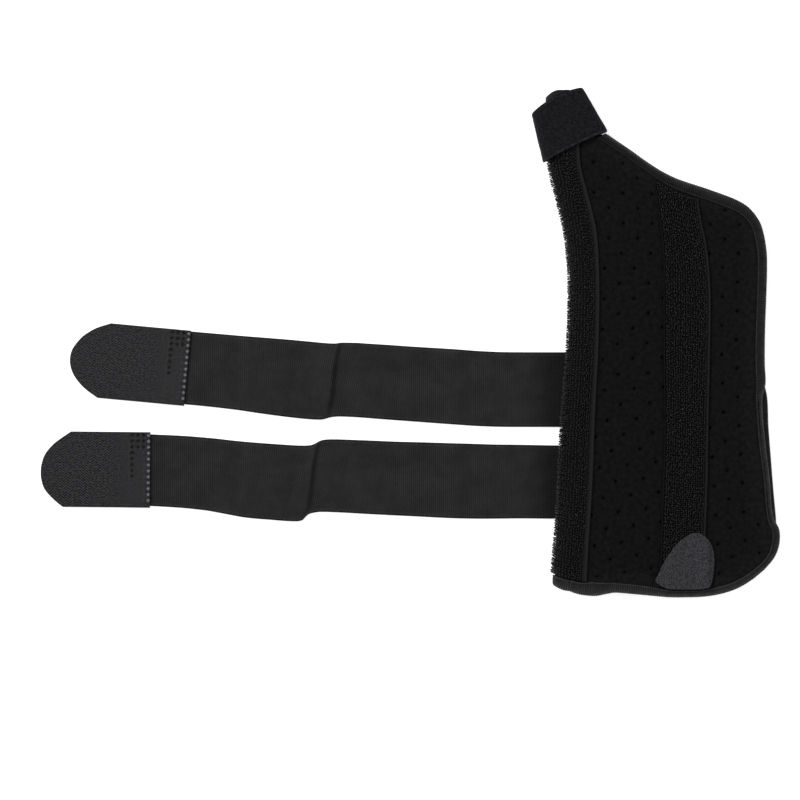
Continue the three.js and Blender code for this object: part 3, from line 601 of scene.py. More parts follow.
def below_band(points):
    """How far points, in metres in the part's frame, lie below the thumb band's lower edge."""
    left, right = plan_point(BAND_LEFT_LOW), plan_point(BAND_RIGHT_LOW)
    edge = (right - left) / np.linalg.norm(right - left)
    offset = points[..., :2] / MM - SPLINT_PLACE[:2] - left
    return edge[1] * offset[..., 0] - edge[0] * offset[..., 1]


def quads(grid):
    """Faces between the points of a grid of indices. They face column direction by row direction."""
    corners = (grid[:-1, :-1], grid[:-1, 1:], grid[1:, 1:], grid[1:, :-1])
    return np.stack(corners, -1).reshape(-1, 4)


def strip(a, b):
    return np.stack([a[:-1], a[1:], b[1:], b[:-1]], -1)


def binding_section(depth, rib):
    """How far out from the cut edge and how high each point of the binding's section lies."""
    high, low = HALF_SHELL + BINDING_OUT, HALF_SHELL + CLEARANCE
    out = BINDING_OUT + BINDING_SWELL - RIB_HEIGHT / 2
    lift = rib * RIB_HEIGHT
    bead = -depth + BEAD_WIDTH
    ribbed = high - RIB_HEIGHT / 2 + lift
    under = RIB_HEIGHT - high - lift
    turn, rise = 0.6 * out + 0.5 * lift, 0.8 * high + 0.3 * lift
    return np.array([
        (-depth, low), (-depth, high - 0.25), (-depth + 0.15, high + BEAD_HEIGHT - 0.1),
        (-depth + 0.38, high + BEAD_HEIGHT), (bead, high - 0.1), (bead + 0.25, ribbed),
        (-0.45 * depth, ribbed), (-0.1, ribbed), (turn, rise), (out - 0.12 + lift, 0.4 * high),
        (out - 0.05 + lift, 0), (out - 0.12 + lift, -0.4 * high), (turn, -rise), (-0.1, under),
        (-0.45 * depth, under), (-depth, -high), (-depth, -low), (CLEARANCE, -low), (CLEARANCE, low),
    ])


def cut_at_band(places):
    """Lines of points along a binding, each ended on a slant just short of the thumb band."""
    clear = below_band(places) - 1.5 * CLEARANCE
    last = np.array([np.argmax(line < 0) if (line < 0).any() else len(line) - 1 for line in clear.T])
    columns = np.arange(len(last))
    before, after = clear[last - 1, columns], clear[last, columns]
    ends = last - 1 + np.clip(before / np.maximum(before - after, 1e-9), 0, 1)
    start = int(last.min()) - BAND_STATIONS
    share = np.linspace(0, 1, BAND_STATIONS + 1)[1:, None]
    at = start + (ends - start) * share
    low = np.floor(at).astype(int)
    part = (at - low)[..., None]
    high = np.minimum(low + 1, len(places) - 1)
    slanted = places[low, columns] * (1 - part) + places[high, columns] * part
    return np.vstack([places[: start + 1], slanted])


def binding_piece(name, edge, sign, finish):
    turns = np.linspace(0, math.pi / 2, 20)
    start = fold_edge_line(turns, BASE, BASE_ROUND)
    start[0, 0] = CLEARANCE / 2
    path = evenly(np.vstack([start[:-1], edge]), BINDING_STEP)
    along = np.gradient(path[:, :2], axis=0)
    along[0] = (1, 0)
    along /= np.linalg.norm(along, axis=1, keepdims=True)
    ribs = 0.5 - 0.5 * np.cos(np.arange(len(path)) * 2 * math.pi * BINDING_STEP / RIB_PITCH)
    section = np.array([binding_section(depth, rib) for depth, rib in zip(path[:, 2], ribs)])
    reach = path[:, :1] + section[..., 0] * along[:, 1:]
    y = path[:, 1:2] - section[..., 0] * along[:, :1]
    places = cut_at_band(on_sheet(sign * reach, y, section[..., 1]))
    count = len(places)
    far = np.arange(count)[:, None] * BINDING_STEP * MM
    over = np.linspace(0, 1, section.shape[1])[None, :] * BINDING_SPAN
    flat = np.stack(np.broadcast_arrays(far, over), -1)
    if sign < 0:
        places, flat = places[::-1], flat[::-1]
    rows, columns = places.shape[:2]
    index = np.arange(rows * columns).reshape(rows, columns)
    faces = [*quads(np.hstack([index, index[:, :1]])), index[0, ::-1], index[-1]]
    piece = cloth_piece(name, places.reshape(-1, 3), faces, finish, flat.reshape(-1, 2))
    along = (places[..., 1] / MM - SPLINT_PLACE[1]) / SPLINT_LENGTH
    outer_turn = np.exp(-(((np.arange(columns) - OUTER_TURN) / OUTER_TURN_SPREAD) ** 2))
    neck = smoothstep(along, *NECK_WORN) * (OUTER_TURN_PALER * outer_turn - NECK_DARKER)
    mark(piece, "tone", read_table(BINDING_TONE, along) * (1 + neck))
    return piece


def grey_ramp(add, value, stops, blue=1.05):
    """A ramp of greys, from rows of a place, a level and perhaps a blueness of its own."""
    colour = add("ShaderNodeValToRGB", {"Fac": value})
    elements = colour.node.color_ramp.elements
    while len(elements) < len(stops):
        elements.new(0.5)
    for element, (place, level, *own) in zip(elements, stops):
        element.position = place
        element.color = grey(level, *(own or [blue]))
    return colour


def rib_wave(add, run, pitch):
    """A wave from -1 to 1 with its crests a pitch apart along a run in metres."""
    return reckon(add, "COSINE", reckon(add, "MULTIPLY", run, 2 * math.pi / (pitch * MM)))


def cloth_axis(add, place, axis):
    return add("ShaderNodeSeparateXYZ", {"Vector": place}, axis)


def binding_finish():
    """Black elastic whose folded inner edge shows as a paler line."""
    finish, add, feed = new_finish("edge_binding", grey(0.012), 0.65, 0.14)
    flat = cloth_place(add)
    over = reckon(add, "MULTIPLY", cloth_axis(add, flat, "Y"), 1 / BINDING_SPAN)
    across = grey_ramp(add, over, [
        (0.0, 0.014), (0.12, 0.041), (0.2, 0.024), (0.26, 0.008), (0.36, 0.0185), (0.46, 0.047),
        (0.62, 0.02, 1.075), (1.0, 0.02, 1.075)])
    depth = spread(add, rib_wave(add, cloth_axis(add, flat, "X"), RIB_PITCH), -1.0, 0.6, 1.25, 0.35)
    wear = spread(add, speckle(add, flat, 260.0, 3.0), 0.3, 0.7, 0.6, 1.3)
    tone = reckon(add, "MULTIPLY", depth, wear)
    feed("Base Color", dimmed(add, across, reckon(add, "MULTIPLY", tone, marked(add, "tone"))))
    roughen(add, feed, 0.3, 0.0001, speckle(add, flat, 2600.0, 3.0))
    return finish


binding = binding_finish()
for name, edge, sign in (("front_edge_binding", front_edge, 1), ("back_edge_binding", back_edge, -1)):
    piece = binding_piece(f"{name}_cloth", edge, sign, binding)
    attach(piece, "root")
    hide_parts(name)


# ---- Loop tapes
# Woven nylon tapes sewn on along their edges, one round the fold and one down the front leaf. Each
# has a plain selvedge at its sides and a pile of small standing loops between them.

TAPE_WIDTH = 24.3
TAPE_GROUND = 0.65
TAPE_WRAP = math.radians(30)
END_GAP = 0.5
SELVEDGE_HEIGHT = 1.15
RADIAL_TAPE_EDGE = [  # along, reach as a share of TAPE_WIDTH
    (0.0, 0.75), (0.15, 0.71), (0.3, 0.71), (0.45, 0.665), (0.62, 0.64), (0.75, 0.68), (1.0, 0.67),
]
MIDDLE_TAPE_EDGE = [  # along, across, width as a share of TAPE_WIDTH
    (0.0, 0.471, 0.95), (0.111, 0.476, 0.945), (0.23, 0.485, 0.945), (0.32, 0.491, 0.93),
    (0.49, 0.487, 0.985), (0.6, 0.486, 1), (0.69, 0.484, 0.93), (0.75, 0.467, 0.88),
    (0.82, 0.449, 0.88),
]
LOOP_PITCH = 1.26
LOOP_HALF_WIDTH = 0.5
LOOP_RISE = 1.65
LOOP_THREAD = 0.19
LOOP_LEAN = 13.0
LOOP_SLANT = 38.0  # to one side in every other row and to the other side between
LOOP_SPREAD = 9.0
LOOP_WANDER = 0.05  # of the way from one loop to the next
LOOP_WIDTHS = (0.8, 1.2)  # least and most, as shares of the usual one
LOOP_HEIGHTS = (0.82, 1.12)
LOOP_FOOT = 0.1  # how deep its feet stand in the ground
PILE_LENGTH = 0.95 * SPLINT_LENGTH
TAPE_ROWS = 260
TAPE_COLUMNS = 24  # between the selvedges
TAPE_END = 0.962  # past this share of its length the radial tape is turned under, without loops
TAPE_END_RISE = 0.9
TAPE_END_PALER = 0.62


def inner_line(line, inward):
    """A line that lies the binding's depth and a gap in from a cut edge."""
    tangent = np.gradient(line[:, :2], axis=0)
    tangent /= np.linalg.norm(tangent, axis=1, keepdims=True)
    depth = inward * (line[:, 2] + END_GAP)
    return np.stack([line[:, 0] - depth * tangent[:, 1], line[:, 1] + depth * tangent[:, 0]], -1)


bottom_inner = inner_line(bottom_line, 1)
top_inner = inner_line(top_line, -1)


def height_on(line, x):
    order = np.argsort(line[:, 0])
    return np.interp(x, line[order, 0], line[order, 1])


def radial_tape_places(share, up):
    """Reach and y on the radial tape, share of the way over it and up it."""
    share, up = np.broadcast_arrays(share, up)
    y = up * SPLINT_LENGTH
    for _ in range(3):
        quarter = fold_radius(y) * math.pi / 2
        edge = reach_at(fold_edge(y) + read_table(RADIAL_TAPE_EDGE, y / SPLINT_LENGTH) * TAPE_WIDTH, y)
        low_reach = -TAPE_WRAP * fold_radius(y)
        reach = low_reach + (edge - low_reach) * share
        turn = np.clip(reach / fold_radius(y), -math.pi / 2, math.pi / 2)
        x = leaf_start(y) + np.maximum(reach - quarter, 0)
        slope = BASE_ROUND * np.sin(2 * turn) / fold_radius(BASE)
        round_low = BASE + BASE_ROUND * np.cos(turn) ** 2 + BINDING_DEPTH * np.hypot(1, slope) + END_GAP
        low = np.where(reach > quarter, height_on(bottom_inner, x), round_low)
        high = np.where(reach > quarter, height_on(top_line, x), TIP - TIP_ROUND * np.cos(turn) ** 2)
        y = low + (high - low) * up
    return reach, y


def middle_tape_places(share, up):
    share, up = np.broadcast_arrays(share, up)
    y = up * 0.82 * SPLINT_LENGTH
    for _ in range(3):
        along = y / SPLINT_LENGTH
        left = read_table(MIDDLE_TAPE_EDGE, along) * BODY_WIDTH
        x = left + read_table(MIDDLE_TAPE_EDGE, along, 2) * TAPE_WIDTH * share
        low, high = height_on(bottom_inner, x), height_on(top_inner, x)
        y = low + (high - low) * up
    return reach_at(x, y), y


def wall_piece(name, outer, inner, flat, finish, closed_round=False, turned=False):
    """A closed wall between two grids of points. flat gives both axes on the cloth in millimetres."""
    rows, columns = outer.shape[:2]
    far = np.arange(rows * columns).reshape(rows, columns)
    if closed_round:
        far = np.hstack([far, far[:, :1]])
    near = far + rows * columns
    faces = [quads(far), quads(near)[:, ::-1], strip(near[0], far[0]), strip(far[-1], near[-1])]
    if not closed_round:
        faces += [strip(far[:, 0], near[:, 0]), strip(near[:, -1], far[:, -1])]
    faces = np.vstack(faces)[:, ::-1] if turned else np.vstack(faces)
    points = np.vstack([outer.reshape(-1, 3), inner.reshape(-1, 3)])
    flat = np.stack(np.broadcast_arrays(*flat), -1).reshape(-1, 2) * MM
    return cloth_piece(name, points, faces, finish, np.vstack([flat, flat]))


def tape_ground(name, places, selvedges, shades, last, finish):
    """Woven ground of a tape: a thin slab with raised selvedges."""
    sides = []
    for selvedge in (side / TAPE_WIDTH for side in selvedges):
        sides.append([(0, 0.4), (0.1 * selvedge, 0.8), (0.25 * selvedge, 1), (0.45 * selvedge, 0.92),
                      (0.8 * selvedge, 0.75), (selvedge, TAPE_GROUND / SELVEDGE_HEIGHT)])
    between = np.linspace(sides[0][-1][0], 1 - sides[1][-1][0], TAPE_COLUMNS)[1:-1]
    middle = [(share, TAPE_GROUND / SELVEDGE_HEIGHT) for share in between]
    stations = sides[0] + middle + [(1 - share, rise) for share, rise in reversed(sides[1])]
    shares = np.array([share for share, _ in stations])
    tops = CLEARANCE + SELVEDGE_HEIGHT * np.array([rise for _, rise in stations])
    ups = np.linspace(0, 1, TAPE_ROWS)[:, None]
    reach, y = places(shares[None, :], ups)
    doubled = smoothstep(ups, last, last + 0.012)
    outer = on_sheet(reach, y, HALF_SHELL + tops[None, :] + TAPE_END_RISE * doubled)
    inner = on_sheet(reach, y, HALF_SHELL + CLEARANCE)
    piece = wall_piece(name, outer, inner, (shares[None, :] * TAPE_WIDTH, y), finish)
    pale = np.maximum(shades[0] * (1 - shares * TAPE_WIDTH / selvedges[0]),
                      shades[1] * (1 - (1 - shares) * TAPE_WIDTH / selvedges[1]))
    pale = np.maximum(np.clip(pale, 0, 1), TAPE_END_PALER * doubled)
    mark(piece, "selvedge", np.tile(pale.ravel(), 2))
    return piece


def pile_tree(finish):
    """Geometry nodes: a thread bent into an arch stands on every point of the carrier."""
    tree = bpy.data.node_groups.new("loop_pile", "GeometryNodeTree")
    new_socket = tree.interface.new_socket
    new_socket("Geometry", in_out="INPUT", socket_type="NodeSocketGeometry")
    sizes = {name: new_socket(name, in_out="INPUT", socket_type="NodeSocketFloat")
             for name in ("half width", "rise", "thread")}
    new_socket("Geometry", in_out="OUTPUT", socket_type="NodeSocketGeometry")
    add = node_adder(tree)
    carrier, half, rise, thick = (add("NodeGroupInput", output=name) for name in ("Geometry", *sizes))
    arch = add("GeometryNodeCurveArc", {"Resolution": 7, "Radius": 1.0, "Start Angle": math.radians(-12),
                                        "Sweep Angle": math.radians(204)})
    scale = add("ShaderNodeCombineXYZ", {"X": half, "Y": rise, "Z": half})
    sized = add("GeometryNodeTransform", {"Geometry": arch, "Scale": scale})
    stood = add("GeometryNodeTransform", {"Geometry": sized, "Rotation": (math.radians(90), 0, 0)})
    thread = add("GeometryNodeCurvePrimitiveCircle", {"Resolution": 3, "Radius": thick})
    loop = add("GeometryNodeCurveToMesh", {"Curve": stood, "Profile Curve": thread, "Fill Caps": True})
    turn, size = (add("GeometryNodeInputNamedAttribute", {"Name": name}, data_type="FLOAT_VECTOR")
                  for name in ("turn", "size"))
    placing = {"Points": carrier, "Instance": loop, "Rotation": turn, "Scale": size}
    real = add("GeometryNodeRealizeInstances", {"Geometry": add("GeometryNodeInstanceOnPoints", placing)})
    rounded = add("GeometryNodeSetShadeSmooth", {"Geometry": real})
    add("NodeGroupOutput", {"Geometry": add("GeometryNodeSetMaterial", {"Geometry": rounded,
                                                                        "Material": finish})})
    return tree, sizes


def grown_piece(name, places, turns, scales, tree, sizes, values):
    """A carrier of points on which a tree grows one shape each, made into one plain mesh."""
    carrier = bpy.data.meshes.new(name)
    carrier.from_pydata(np.asarray(places).tolist(), [], [])
    for label, data in (("turn", turns), ("size", scales)):
        layer = carrier.attributes.new(label, "FLOAT_VECTOR", "POINT")
        layer.data.foreach_set("vector", np.asarray(data, float).ravel())
    piece = bpy.data.objects.new(name, carrier)
    scene.collection.objects.link(piece)
    growth = piece.modifiers.new("growth", "NODES")
    growth.node_group = tree
    for label, value in values.items():
        growth[sizes[label].identifier] = value
    bpy.context.view_layer.update()
    grown = bpy.data.meshes.new_from_object(piece.evaluated_get(bpy.context.evaluated_depsgraph_get()))
    piece.modifiers.clear()
    piece.data = grown
    grown.name = name
    return piece


def standing(normals, yaw, lean, lean_way):
    """Euler turns that stand a shape on a surface, turned by yaw and leaned over."""
    turns = []
    for up, turn, tilt, way in zip(normals, yaw, lean, lean_way):
        up = Vector(up)
        side = Vector((0, 1, 0)).cross(up).normalized()
        base = Matrix((side, up.cross(side), up)).transposed()
        bend = Matrix.Rotation(way, 3, "Z") @ Matrix.Rotation(tilt, 3, "X") @ Matrix.Rotation(-way, 3, "Z")
        turns.append((base @ bend @ Matrix.Rotation(turn, 3, "Z")).to_euler())
    return np.array(turns)


def loop_pile(name, places, selvedges, last, pile, seed):
    chance = np.random.default_rng(seed)
    start, end = selvedges[0] / TAPE_WIDTH, 1 - selvedges[1] / TAPE_WIDTH
    columns = round((end - start) * TAPE_WIDTH / LOOP_PITCH)
    rows = round(PILE_LENGTH / LOOP_PITCH)
    over, up = np.meshgrid((np.arange(columns) + 0.5) / columns, (np.arange(rows) + 0.5) / rows)
    over = start + (over + chance.normal(0, LOOP_WANDER, over.shape) / columns) * (end - start)
    up = up + chance.normal(0, LOOP_WANDER, up.shape) / rows
    reach, y = places(np.clip(over, start, end), np.clip(up, 0.004, 0.996))
    slant = np.broadcast_to(np.where(np.arange(rows) % 2, LOOP_SLANT, -LOOP_SLANT)[:, None], up.shape)
    standing_up = up < last
    reach, y, slant = reach[standing_up], y[standing_up], slant[standing_up]
    count = len(reach)
    yaw = math.pi / 2 + np.radians(slant + chance.normal(0, LOOP_SPREAD, count))
    lean = np.abs(chance.normal(0, math.radians(LOOP_LEAN), count))
    turns = standing(sheet_normals(reach, y), yaw, lean, chance.uniform(0, 2 * math.pi, count))
    wide = chance.uniform(*LOOP_WIDTHS, count)
    scales = np.stack([wide, np.ones(count), chance.uniform(*LOOP_HEIGHTS, count)], -1)
    feet = on_sheet(reach, y, HALF_SHELL + CLEARANCE + TAPE_GROUND - LOOP_FOOT)
    values = {"half width": LOOP_HALF_WIDTH * MM, "rise": LOOP_RISE * MM, "thread": LOOP_THREAD * MM}
    return grown_piece(name, feet, turns, scales, *pile, values)


def tape_finish():
    """Woven nylon ground, nearly black between the loops and paler along its selvedges."""
    finish, add, feed = new_finish("tape_ground", grey(0.004), 0.7, 0.15)
    feed("Base Color", grey_ramp(add, marked(add, "selvedge"), [
        (0.0, 0.0015), (0.08, 0.005), (0.5, 0.0095), (0.72, 0.0165), (0.86, 0.014), (1.0, 0.005)]))
    roughen(add, feed, 0.5, 0.0002, threads(add, cloth_place(add), 640.0, "Y", 1.0))
    return finish


def loop_finish():
    """Bright nylon filament, black, whose turns catch the light."""
    finish, add, feed = new_finish("loop_thread", grey(0.02), 0.4, 0.35)
    place = add("ShaderNodeTexCoord", output="Object")
    feed("Base Color", mottled(add, speckle(add, place, 1500.0, 1.0), grey(0.007), grey(0.037)))
    return finish


tape_cloth = tape_finish()
pile = pile_tree(loop_finish())
for name, places, selvedges, shades, last, seed in (
    ("radial_tape", radial_tape_places, (0.4, 3.6), (1, 1), TAPE_END, 3),
    ("middle_tape", middle_tape_places, (0.7, 1.9), (0.45, 1.1), 1.0, 4),
):
    ground = tape_ground(f"{name}_ground", places, selvedges, shades, last, tape_cloth)
    loops = loop_pile(f"{name}_loops", places, selvedges, last, pile, seed)
    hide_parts(name)
    for piece in (ground, loops):
        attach(piece, "root")


# ---- Grey tab
# A D-shaped scrap of grey loop cloth at the lower end of the middle tape. It is caught under the
# forearm binding and lies over the tape and down its two sides.

POCKET_TAB_WIDTH = 30.4
POCKET_TAB_HEIGHT = 28.6
POCKET_TAB_THICKNESS = 1.2
POCKET_TAB_EASE = 0.9
POCKET_TAB_SLOPE = 0.7
POCKET_TAB_OUTLINE = [  # up, left, right
    (0.0, 0.12, 0.8), (0.02, 0.045, 0.835), (0.05, -0.05, 0.86), (0.075, -0.088, 0.872),
    (0.12, -0.086, 0.882), (0.27, -0.035, 0.898), (0.43, 0.027, 0.908), (0.61, 0.117, 0.895),
    (0.78, 0.225, 0.845), (0.895, 0.342, 0.767), (0.975, 0.467, 0.675), (1.0, 0.533, 0.617),
]
POCKET_TAB_ROWS = 70
POCKET_TAB_COLUMNS = 70


def rolled(edge, width, depth):
    """How far a cut edge rounds down: its whole depth at the edge, nothing a width in from it."""
    return depth * (1 - np.sqrt(np.clip(1 - (1 - np.clip(edge / width, 0, 1)) ** 2, 0, 1)))


def grey_tab(finish):
    even = np.linspace(0, 1, POCKET_TAB_ROWS)
    eased = (1 - np.cos(even * math.pi)) / 2
    up = np.where(eased < 0.5, even, eased)[:, None]
    over = ((1 - np.cos(np.linspace(0, math.pi, POCKET_TAB_COLUMNS))) / 2)[None, :]
    base = read_table(MIDDLE_TAPE_EDGE, 0.0) * BODY_WIDTH
    tape = read_table(MIDDLE_TAPE_EDGE, 0.0, 2) * TAPE_WIDTH
    left, right = (base + read_table(POCKET_TAB_OUTLINE, up, i) * POCKET_TAB_WIDTH for i in (1, 2))
    x = left + (right - left) * over
    y = height_on(bottom_inner, x) + up * POCKET_TAB_HEIGHT
    past = np.maximum(np.maximum(base - POCKET_TAB_EASE - x, x - base - tape - POCKET_TAB_EASE), 0)
    lift = TAPE_STACK - TAPE_STACK * smoothstep(past * POCKET_TAB_SLOPE, -0.3, TAPE_STACK + 0.3)
    shift = read_table(MIDDLE_TAPE_EDGE, y / SPLINT_LENGTH) * BODY_WIDTH - base
    reach = reach_at(x + shift, y)
    edge = np.minimum(np.minimum(x - left, right - x), np.minimum((1 - up) * POCKET_TAB_HEIGHT * 0.6, 1.0))
    edge = np.minimum(edge, up * POCKET_TAB_HEIGHT + 0.25)
    low = HALF_SHELL + lift + CLEARANCE
    outer = on_sheet(reach, y, low + POCKET_TAB_THICKNESS - rolled(edge, 0.45, 0.45))
    return wall_piece("pocket_tab_cloth", outer, on_sheet(reach, y, low), (x, y), finish)


def grey_loop_finish():
    """Dark grey loop cloth: a tight, grainy pile of fine loops."""
    finish, add, feed = new_finish("grey_loop", (0.045, 0.044, 0.05, 1), 0.75, 0.3)
    inputs = {"Vector": cloth_place(add), "Scale": 1750.0}
    depth = spread(add, add("ShaderNodeTexVoronoi", inputs, feature="F1"), 0.0, 0.7, 1.0, 0.0)
    feed("Base Color", blend(add, depth, (0.014, 0.0136, 0.0162, 1), (0.098, 0.095, 0.11, 1)))
    roughen(add, feed, 0.8, 0.0004, depth)
    return finish


pocket_tab = grey_tab(grey_loop_finish())
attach(pocket_tab, "root")
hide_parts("pocket_tab")


# ---- Thumb band
# A strip of brushed loop cloth laminated to foam, passed round the tongue and closed on itself
# underneath. Its sides turn over in soft folds, and both its edges bow up towards the tip.

BAND_WIDTH = 25.5
BAND_THICKNESS = 1.5
BAND_CORNER = 4.4
BAND_HEIGHT = 15.6
BAND_LEFT_LEAN = math.radians(13.5)
BAND_RIGHT_LEAN = math.radians(30)
BAND_BOW = (0.7, 2.2)  # how far its lower and its upper edge bow up
BAND_ROWS = 44
BAND_COLUMNS = 260
BAND_LUMPS = [(6.0, 0.22), (1.1, 0.1)]  # size and height of the nap's unevenness
BAND_SUNK = 0.12  # how far in the nap lies on the whole


def band_side(low, lean):
    low = plan_point(low)
    return low, low + BAND_WIDTH * np.array([-math.sin(lean), math.cos(lean)])


def band_grid(inset):
    left_low, left_high = band_side(BAND_LEFT_LOW, BAND_LEFT_LEAN)
    right_low, right_high = band_side(BAND_RIGHT_LOW, BAND_RIGHT_LEAN)
    grid = []
    for share in np.linspace(0, 1, BAND_ROWS):
        left = left_low + (left_high - left_low) * share
        right = right_low + (right_high - right_low) * share
        middle, over = (left + right) / 2, (right - left) / np.linalg.norm(right - left)
        upward = np.array([-over[1], over[0]])
        reach = np.linalg.norm(right - left) / 2 - BAND_CORNER
        rise = BAND_HEIGHT / 2 - BAND_CORNER
        corner = BAND_CORNER - inset
        ring = []
        for side, level, start in ((-1, -1, -90), (-1, 1, 0), (1, 1, 90), (1, -1, 180)):
            for angle in np.radians(start + np.linspace(0, 90, 9)):
                ring.append((side * reach - corner * math.cos(angle),
                             BAND_HEIGHT / 2 + level * rise + corner * math.sin(angle)))
        ring = np.array(ring + ring[:1])
        gaps = np.concatenate([[0], np.cumsum(np.linalg.norm(np.diff(ring, axis=0), axis=1))])
        stops = np.linspace(0, gaps[-1], BAND_COLUMNS, endpoint=False)
        off, z = np.interp(stops, gaps, ring[:, 0]), np.interp(stops, gaps, ring[:, 1])
        bow = BAND_BOW[0] + (BAND_BOW[1] - BAND_BOW[0]) * share
        bow = bow * (1 - (off / (reach + BAND_CORNER)) ** 2)
        plan = middle + off[:, None] * over + bow[:, None] * upward
        grid.append(np.column_stack([plan, z]))
    return np.array(grid)


def thumb_band(finish):
    outer, inner = band_grid(0.0), band_grid(BAND_THICKNESS)
    share = np.linspace(0, 1, BAND_ROWS)[:, None, None]
    edge = np.minimum(share, 1 - share) * BAND_WIDTH
    outer = outer + (inner - outer) * rolled(edge, 0.7, 0.5) / BAND_THICKNESS
    inward = (inner - outer) / np.linalg.norm(inner - outer, axis=-1, keepdims=True)
    swell = np.array([sum(noise.noise(Vector(p / size)) * height for size, height in BAND_LUMPS)
                      for p in outer.reshape(-1, 3)]).reshape(BAND_ROWS, BAND_COLUMNS, 1)
    outer = outer + inward * (BAND_SUNK - swell) * np.clip(edge, 0, 1)
    outer[..., 2] = np.maximum(outer[..., 2], 0)
    flat = (np.linspace(0, 100, BAND_COLUMNS)[None, :], share[..., 0] * BAND_WIDTH)
    return wall_piece("thumb_band_cloth", placed(outer), placed(inner), flat, finish, closed_round=True)


def brushed_finish():
    """Brushed nylon loop: a felted nap of fine broken loops with a soft bloom at grazing angles. Its colour
    is painted paler just inside its rolled edges, a painted highlight, and darker right at them, painted
    shade.
    """
    finish, add, feed = new_finish("brushed_loop", (0.0085, 0.0083, 0.0095, 1), 0.9, 0.07)
    feed("Sheen Weight", 0.03)
    feed("Sheen Roughness", 0.4)
    feed("Sheen Tint", (0.75, 0.75, 1, 1))
    place = add("ShaderNodeTexCoord", output="Object")
    nap = speckle(add, place, 900.0, 5.0, Roughness=0.65)
    tufts = speckle(add, place, 1250.0, 3.0, Distortion=0.8)
    tint = mottled(add, tufts, (0.0045, 0.0044, 0.005, 1), (0.0175, 0.0172, 0.0198, 1))
    over = reckon(add, "MULTIPLY", cloth_axis(add, cloth_place(add), "Y"), 1 / (BAND_WIDTH * MM))
    cut = 1 / BAND_WIDTH  # a millimetre, as a share of the width
    # Painted highlight along the rolled edges, a little bluer, with painted shade right at the edges.
    edge = grey_ramp(add, over, [
        (0.0, 0.3), (0.45 * cut, 2.3, 1.087), (0.9 * cut, 2.0, 1.1), (1.5 * cut, 0.8), (3 * cut, 1),
        (1 - 3 * cut, 1), (1 - 1.5 * cut, 1), (1 - 0.8 * cut, 1.7, 1.118), (1.0, 0.3)], 1.0)
    feed("Base Color", add("ShaderNodeVectorMath", {0: tint, 1: edge}, operation="MULTIPLY"))
    roughen(add, feed, 0.6, 0.0004, reckon(add, "ADD", nap, tufts))
    return finish


band = thumb_band(brushed_finish())
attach(band, "root")
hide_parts("thumb_band")


# ---- Straps
# Elastic webbing woven with fine ribs across it, sewn under the back leaf near the fold. Each
# strap lies flat but for one slanted wrinkle, steep on its body side.

STRAP_WIDTH = 36.6
STRAP_THICKNESS = 1.5
STRAP_RIB = 1.02
STRAP_RIB_HEIGHT = 0.14
STRAP_STEP = STRAP_RIB / 5
STRAP_COLUMNS = 22
WRINKLE_LEAN = math.radians(10)
WRINKLE_PLACE = 0.575
WRINKLE_SPREAD = 0.25
WRINKLE_HEIGHT = 3.0
WRINKLE_RISE = 9.0  # run of its gentle side
WRINKLE_FALL = 3.2  # run of its steep side
WRINKLE_SWAY = -0.6  # how far it curves to and fro
WRINKLE_SIDE = 0.55  # its height at the strap's sides, as a share of that at the middle
TAB_SPREAD = 0.1
SHELL_SHADOW_REACH = 13.0  # how far out from the shell's edge the strap is painted darker, a painted shadow of the shell
# Routes go from the shell's edge to the tab: share of the reach, sideways shift and width as
# shares of STRAP_WIDTH, because worn elastic spreads most where it is creased. Tab ends give
# the tab's length, from its sewn end, at a share of its half width: each is cut round, a little askew.
STRAPS = {
    "upper": {"reach": 195.0, "height": 0.41, "turn": math.radians(-5.3),
              "tab_end": [(-1.0, 44.3), (-0.78, 51.2), (-0.54, 56.1), (-0.29, 59.0), (-0.03, 60.0),
                          (0.24, 59.1), (0.52, 55.7), (0.67, 52.8), (0.85, 47.7), (1.0, 40.8)],
              "route": [(0.0, -0.01, 1.038), (0.08, -0.0096, 1.0386), (0.135, -0.007, 1.04),
                        (0.19, 0.005, 1.044), (0.25, 0.0273, 1.047), (0.31, 0.049, 1.044),
                        (0.37, 0.0705, 1.0387), (0.43, 0.0938, 1.0336), (0.486, 0.115, 1.025),
                        (0.52, 0.126, 1.026), (0.538, 0.1284, 1.0262), (0.55, 0.1268, 1.031),
                        (0.56, 0.1225, 1.04), (0.57, 0.113, 1.052), (0.577, 0.1046, 1.0554),
                        (0.585, 0.1015, 1.0577), (0.606, 0.106, 1.0614), (0.642, 0.1232, 1.0657),
                        (0.7, 0.1552, 1.0642), (0.76, 0.189, 1.053), (0.82, 0.225, 1.035),
                        (0.88, 0.258, 1.0248), (1.0, 0.318, 1.012)]},
    "lower": {"reach": 214.0, "height": 0.2291, "turn": math.radians(-0.5),
              "tab_end": [(-1.0, 44.4), (-0.8, 49.1), (-0.54, 53.6), (-0.27, 55.4), (-0.07, 55.7),
                          (0.12, 55.35), (0.39, 53.6), (0.65, 49.6), (0.82, 45.5), (1.0, 40.4)],
              "route": [(0.0, -0.027, 1.018), (0.08, -0.021, 1.024), (0.135, -0.021, 1.031),
                        (0.19, -0.0157, 1.041), (0.25, -0.006, 1.041), (0.31, 0.0085, 1.034),
                        (0.37, 0.0215, 1.025), (0.43, 0.038, 1.02), (0.486, 0.0538, 1.011),
                        (0.52, 0.0612, 1.009), (0.538, 0.0613, 1.01), (0.55, 0.054, 1.018),
                        (0.56, 0.042, 1.026), (0.567, 0.018, 1.045), (0.574, -0.016, 1.07),
                        (0.583, -0.038, 1.062), (0.594, -0.0458, 1.0534), (0.62, -0.0428, 1.0488),
                        (0.66, -0.026, 1.047), (0.7, -0.0087, 1.0488), (0.73, 0.009, 1.045),
                        (0.76, 0.033, 1.034), (0.79, 0.0597, 1.0244), (0.82, 0.0833, 1.012),
                        (0.88, 0.1154, 1.002), (1.0, 0.15, 0.992)]},
}


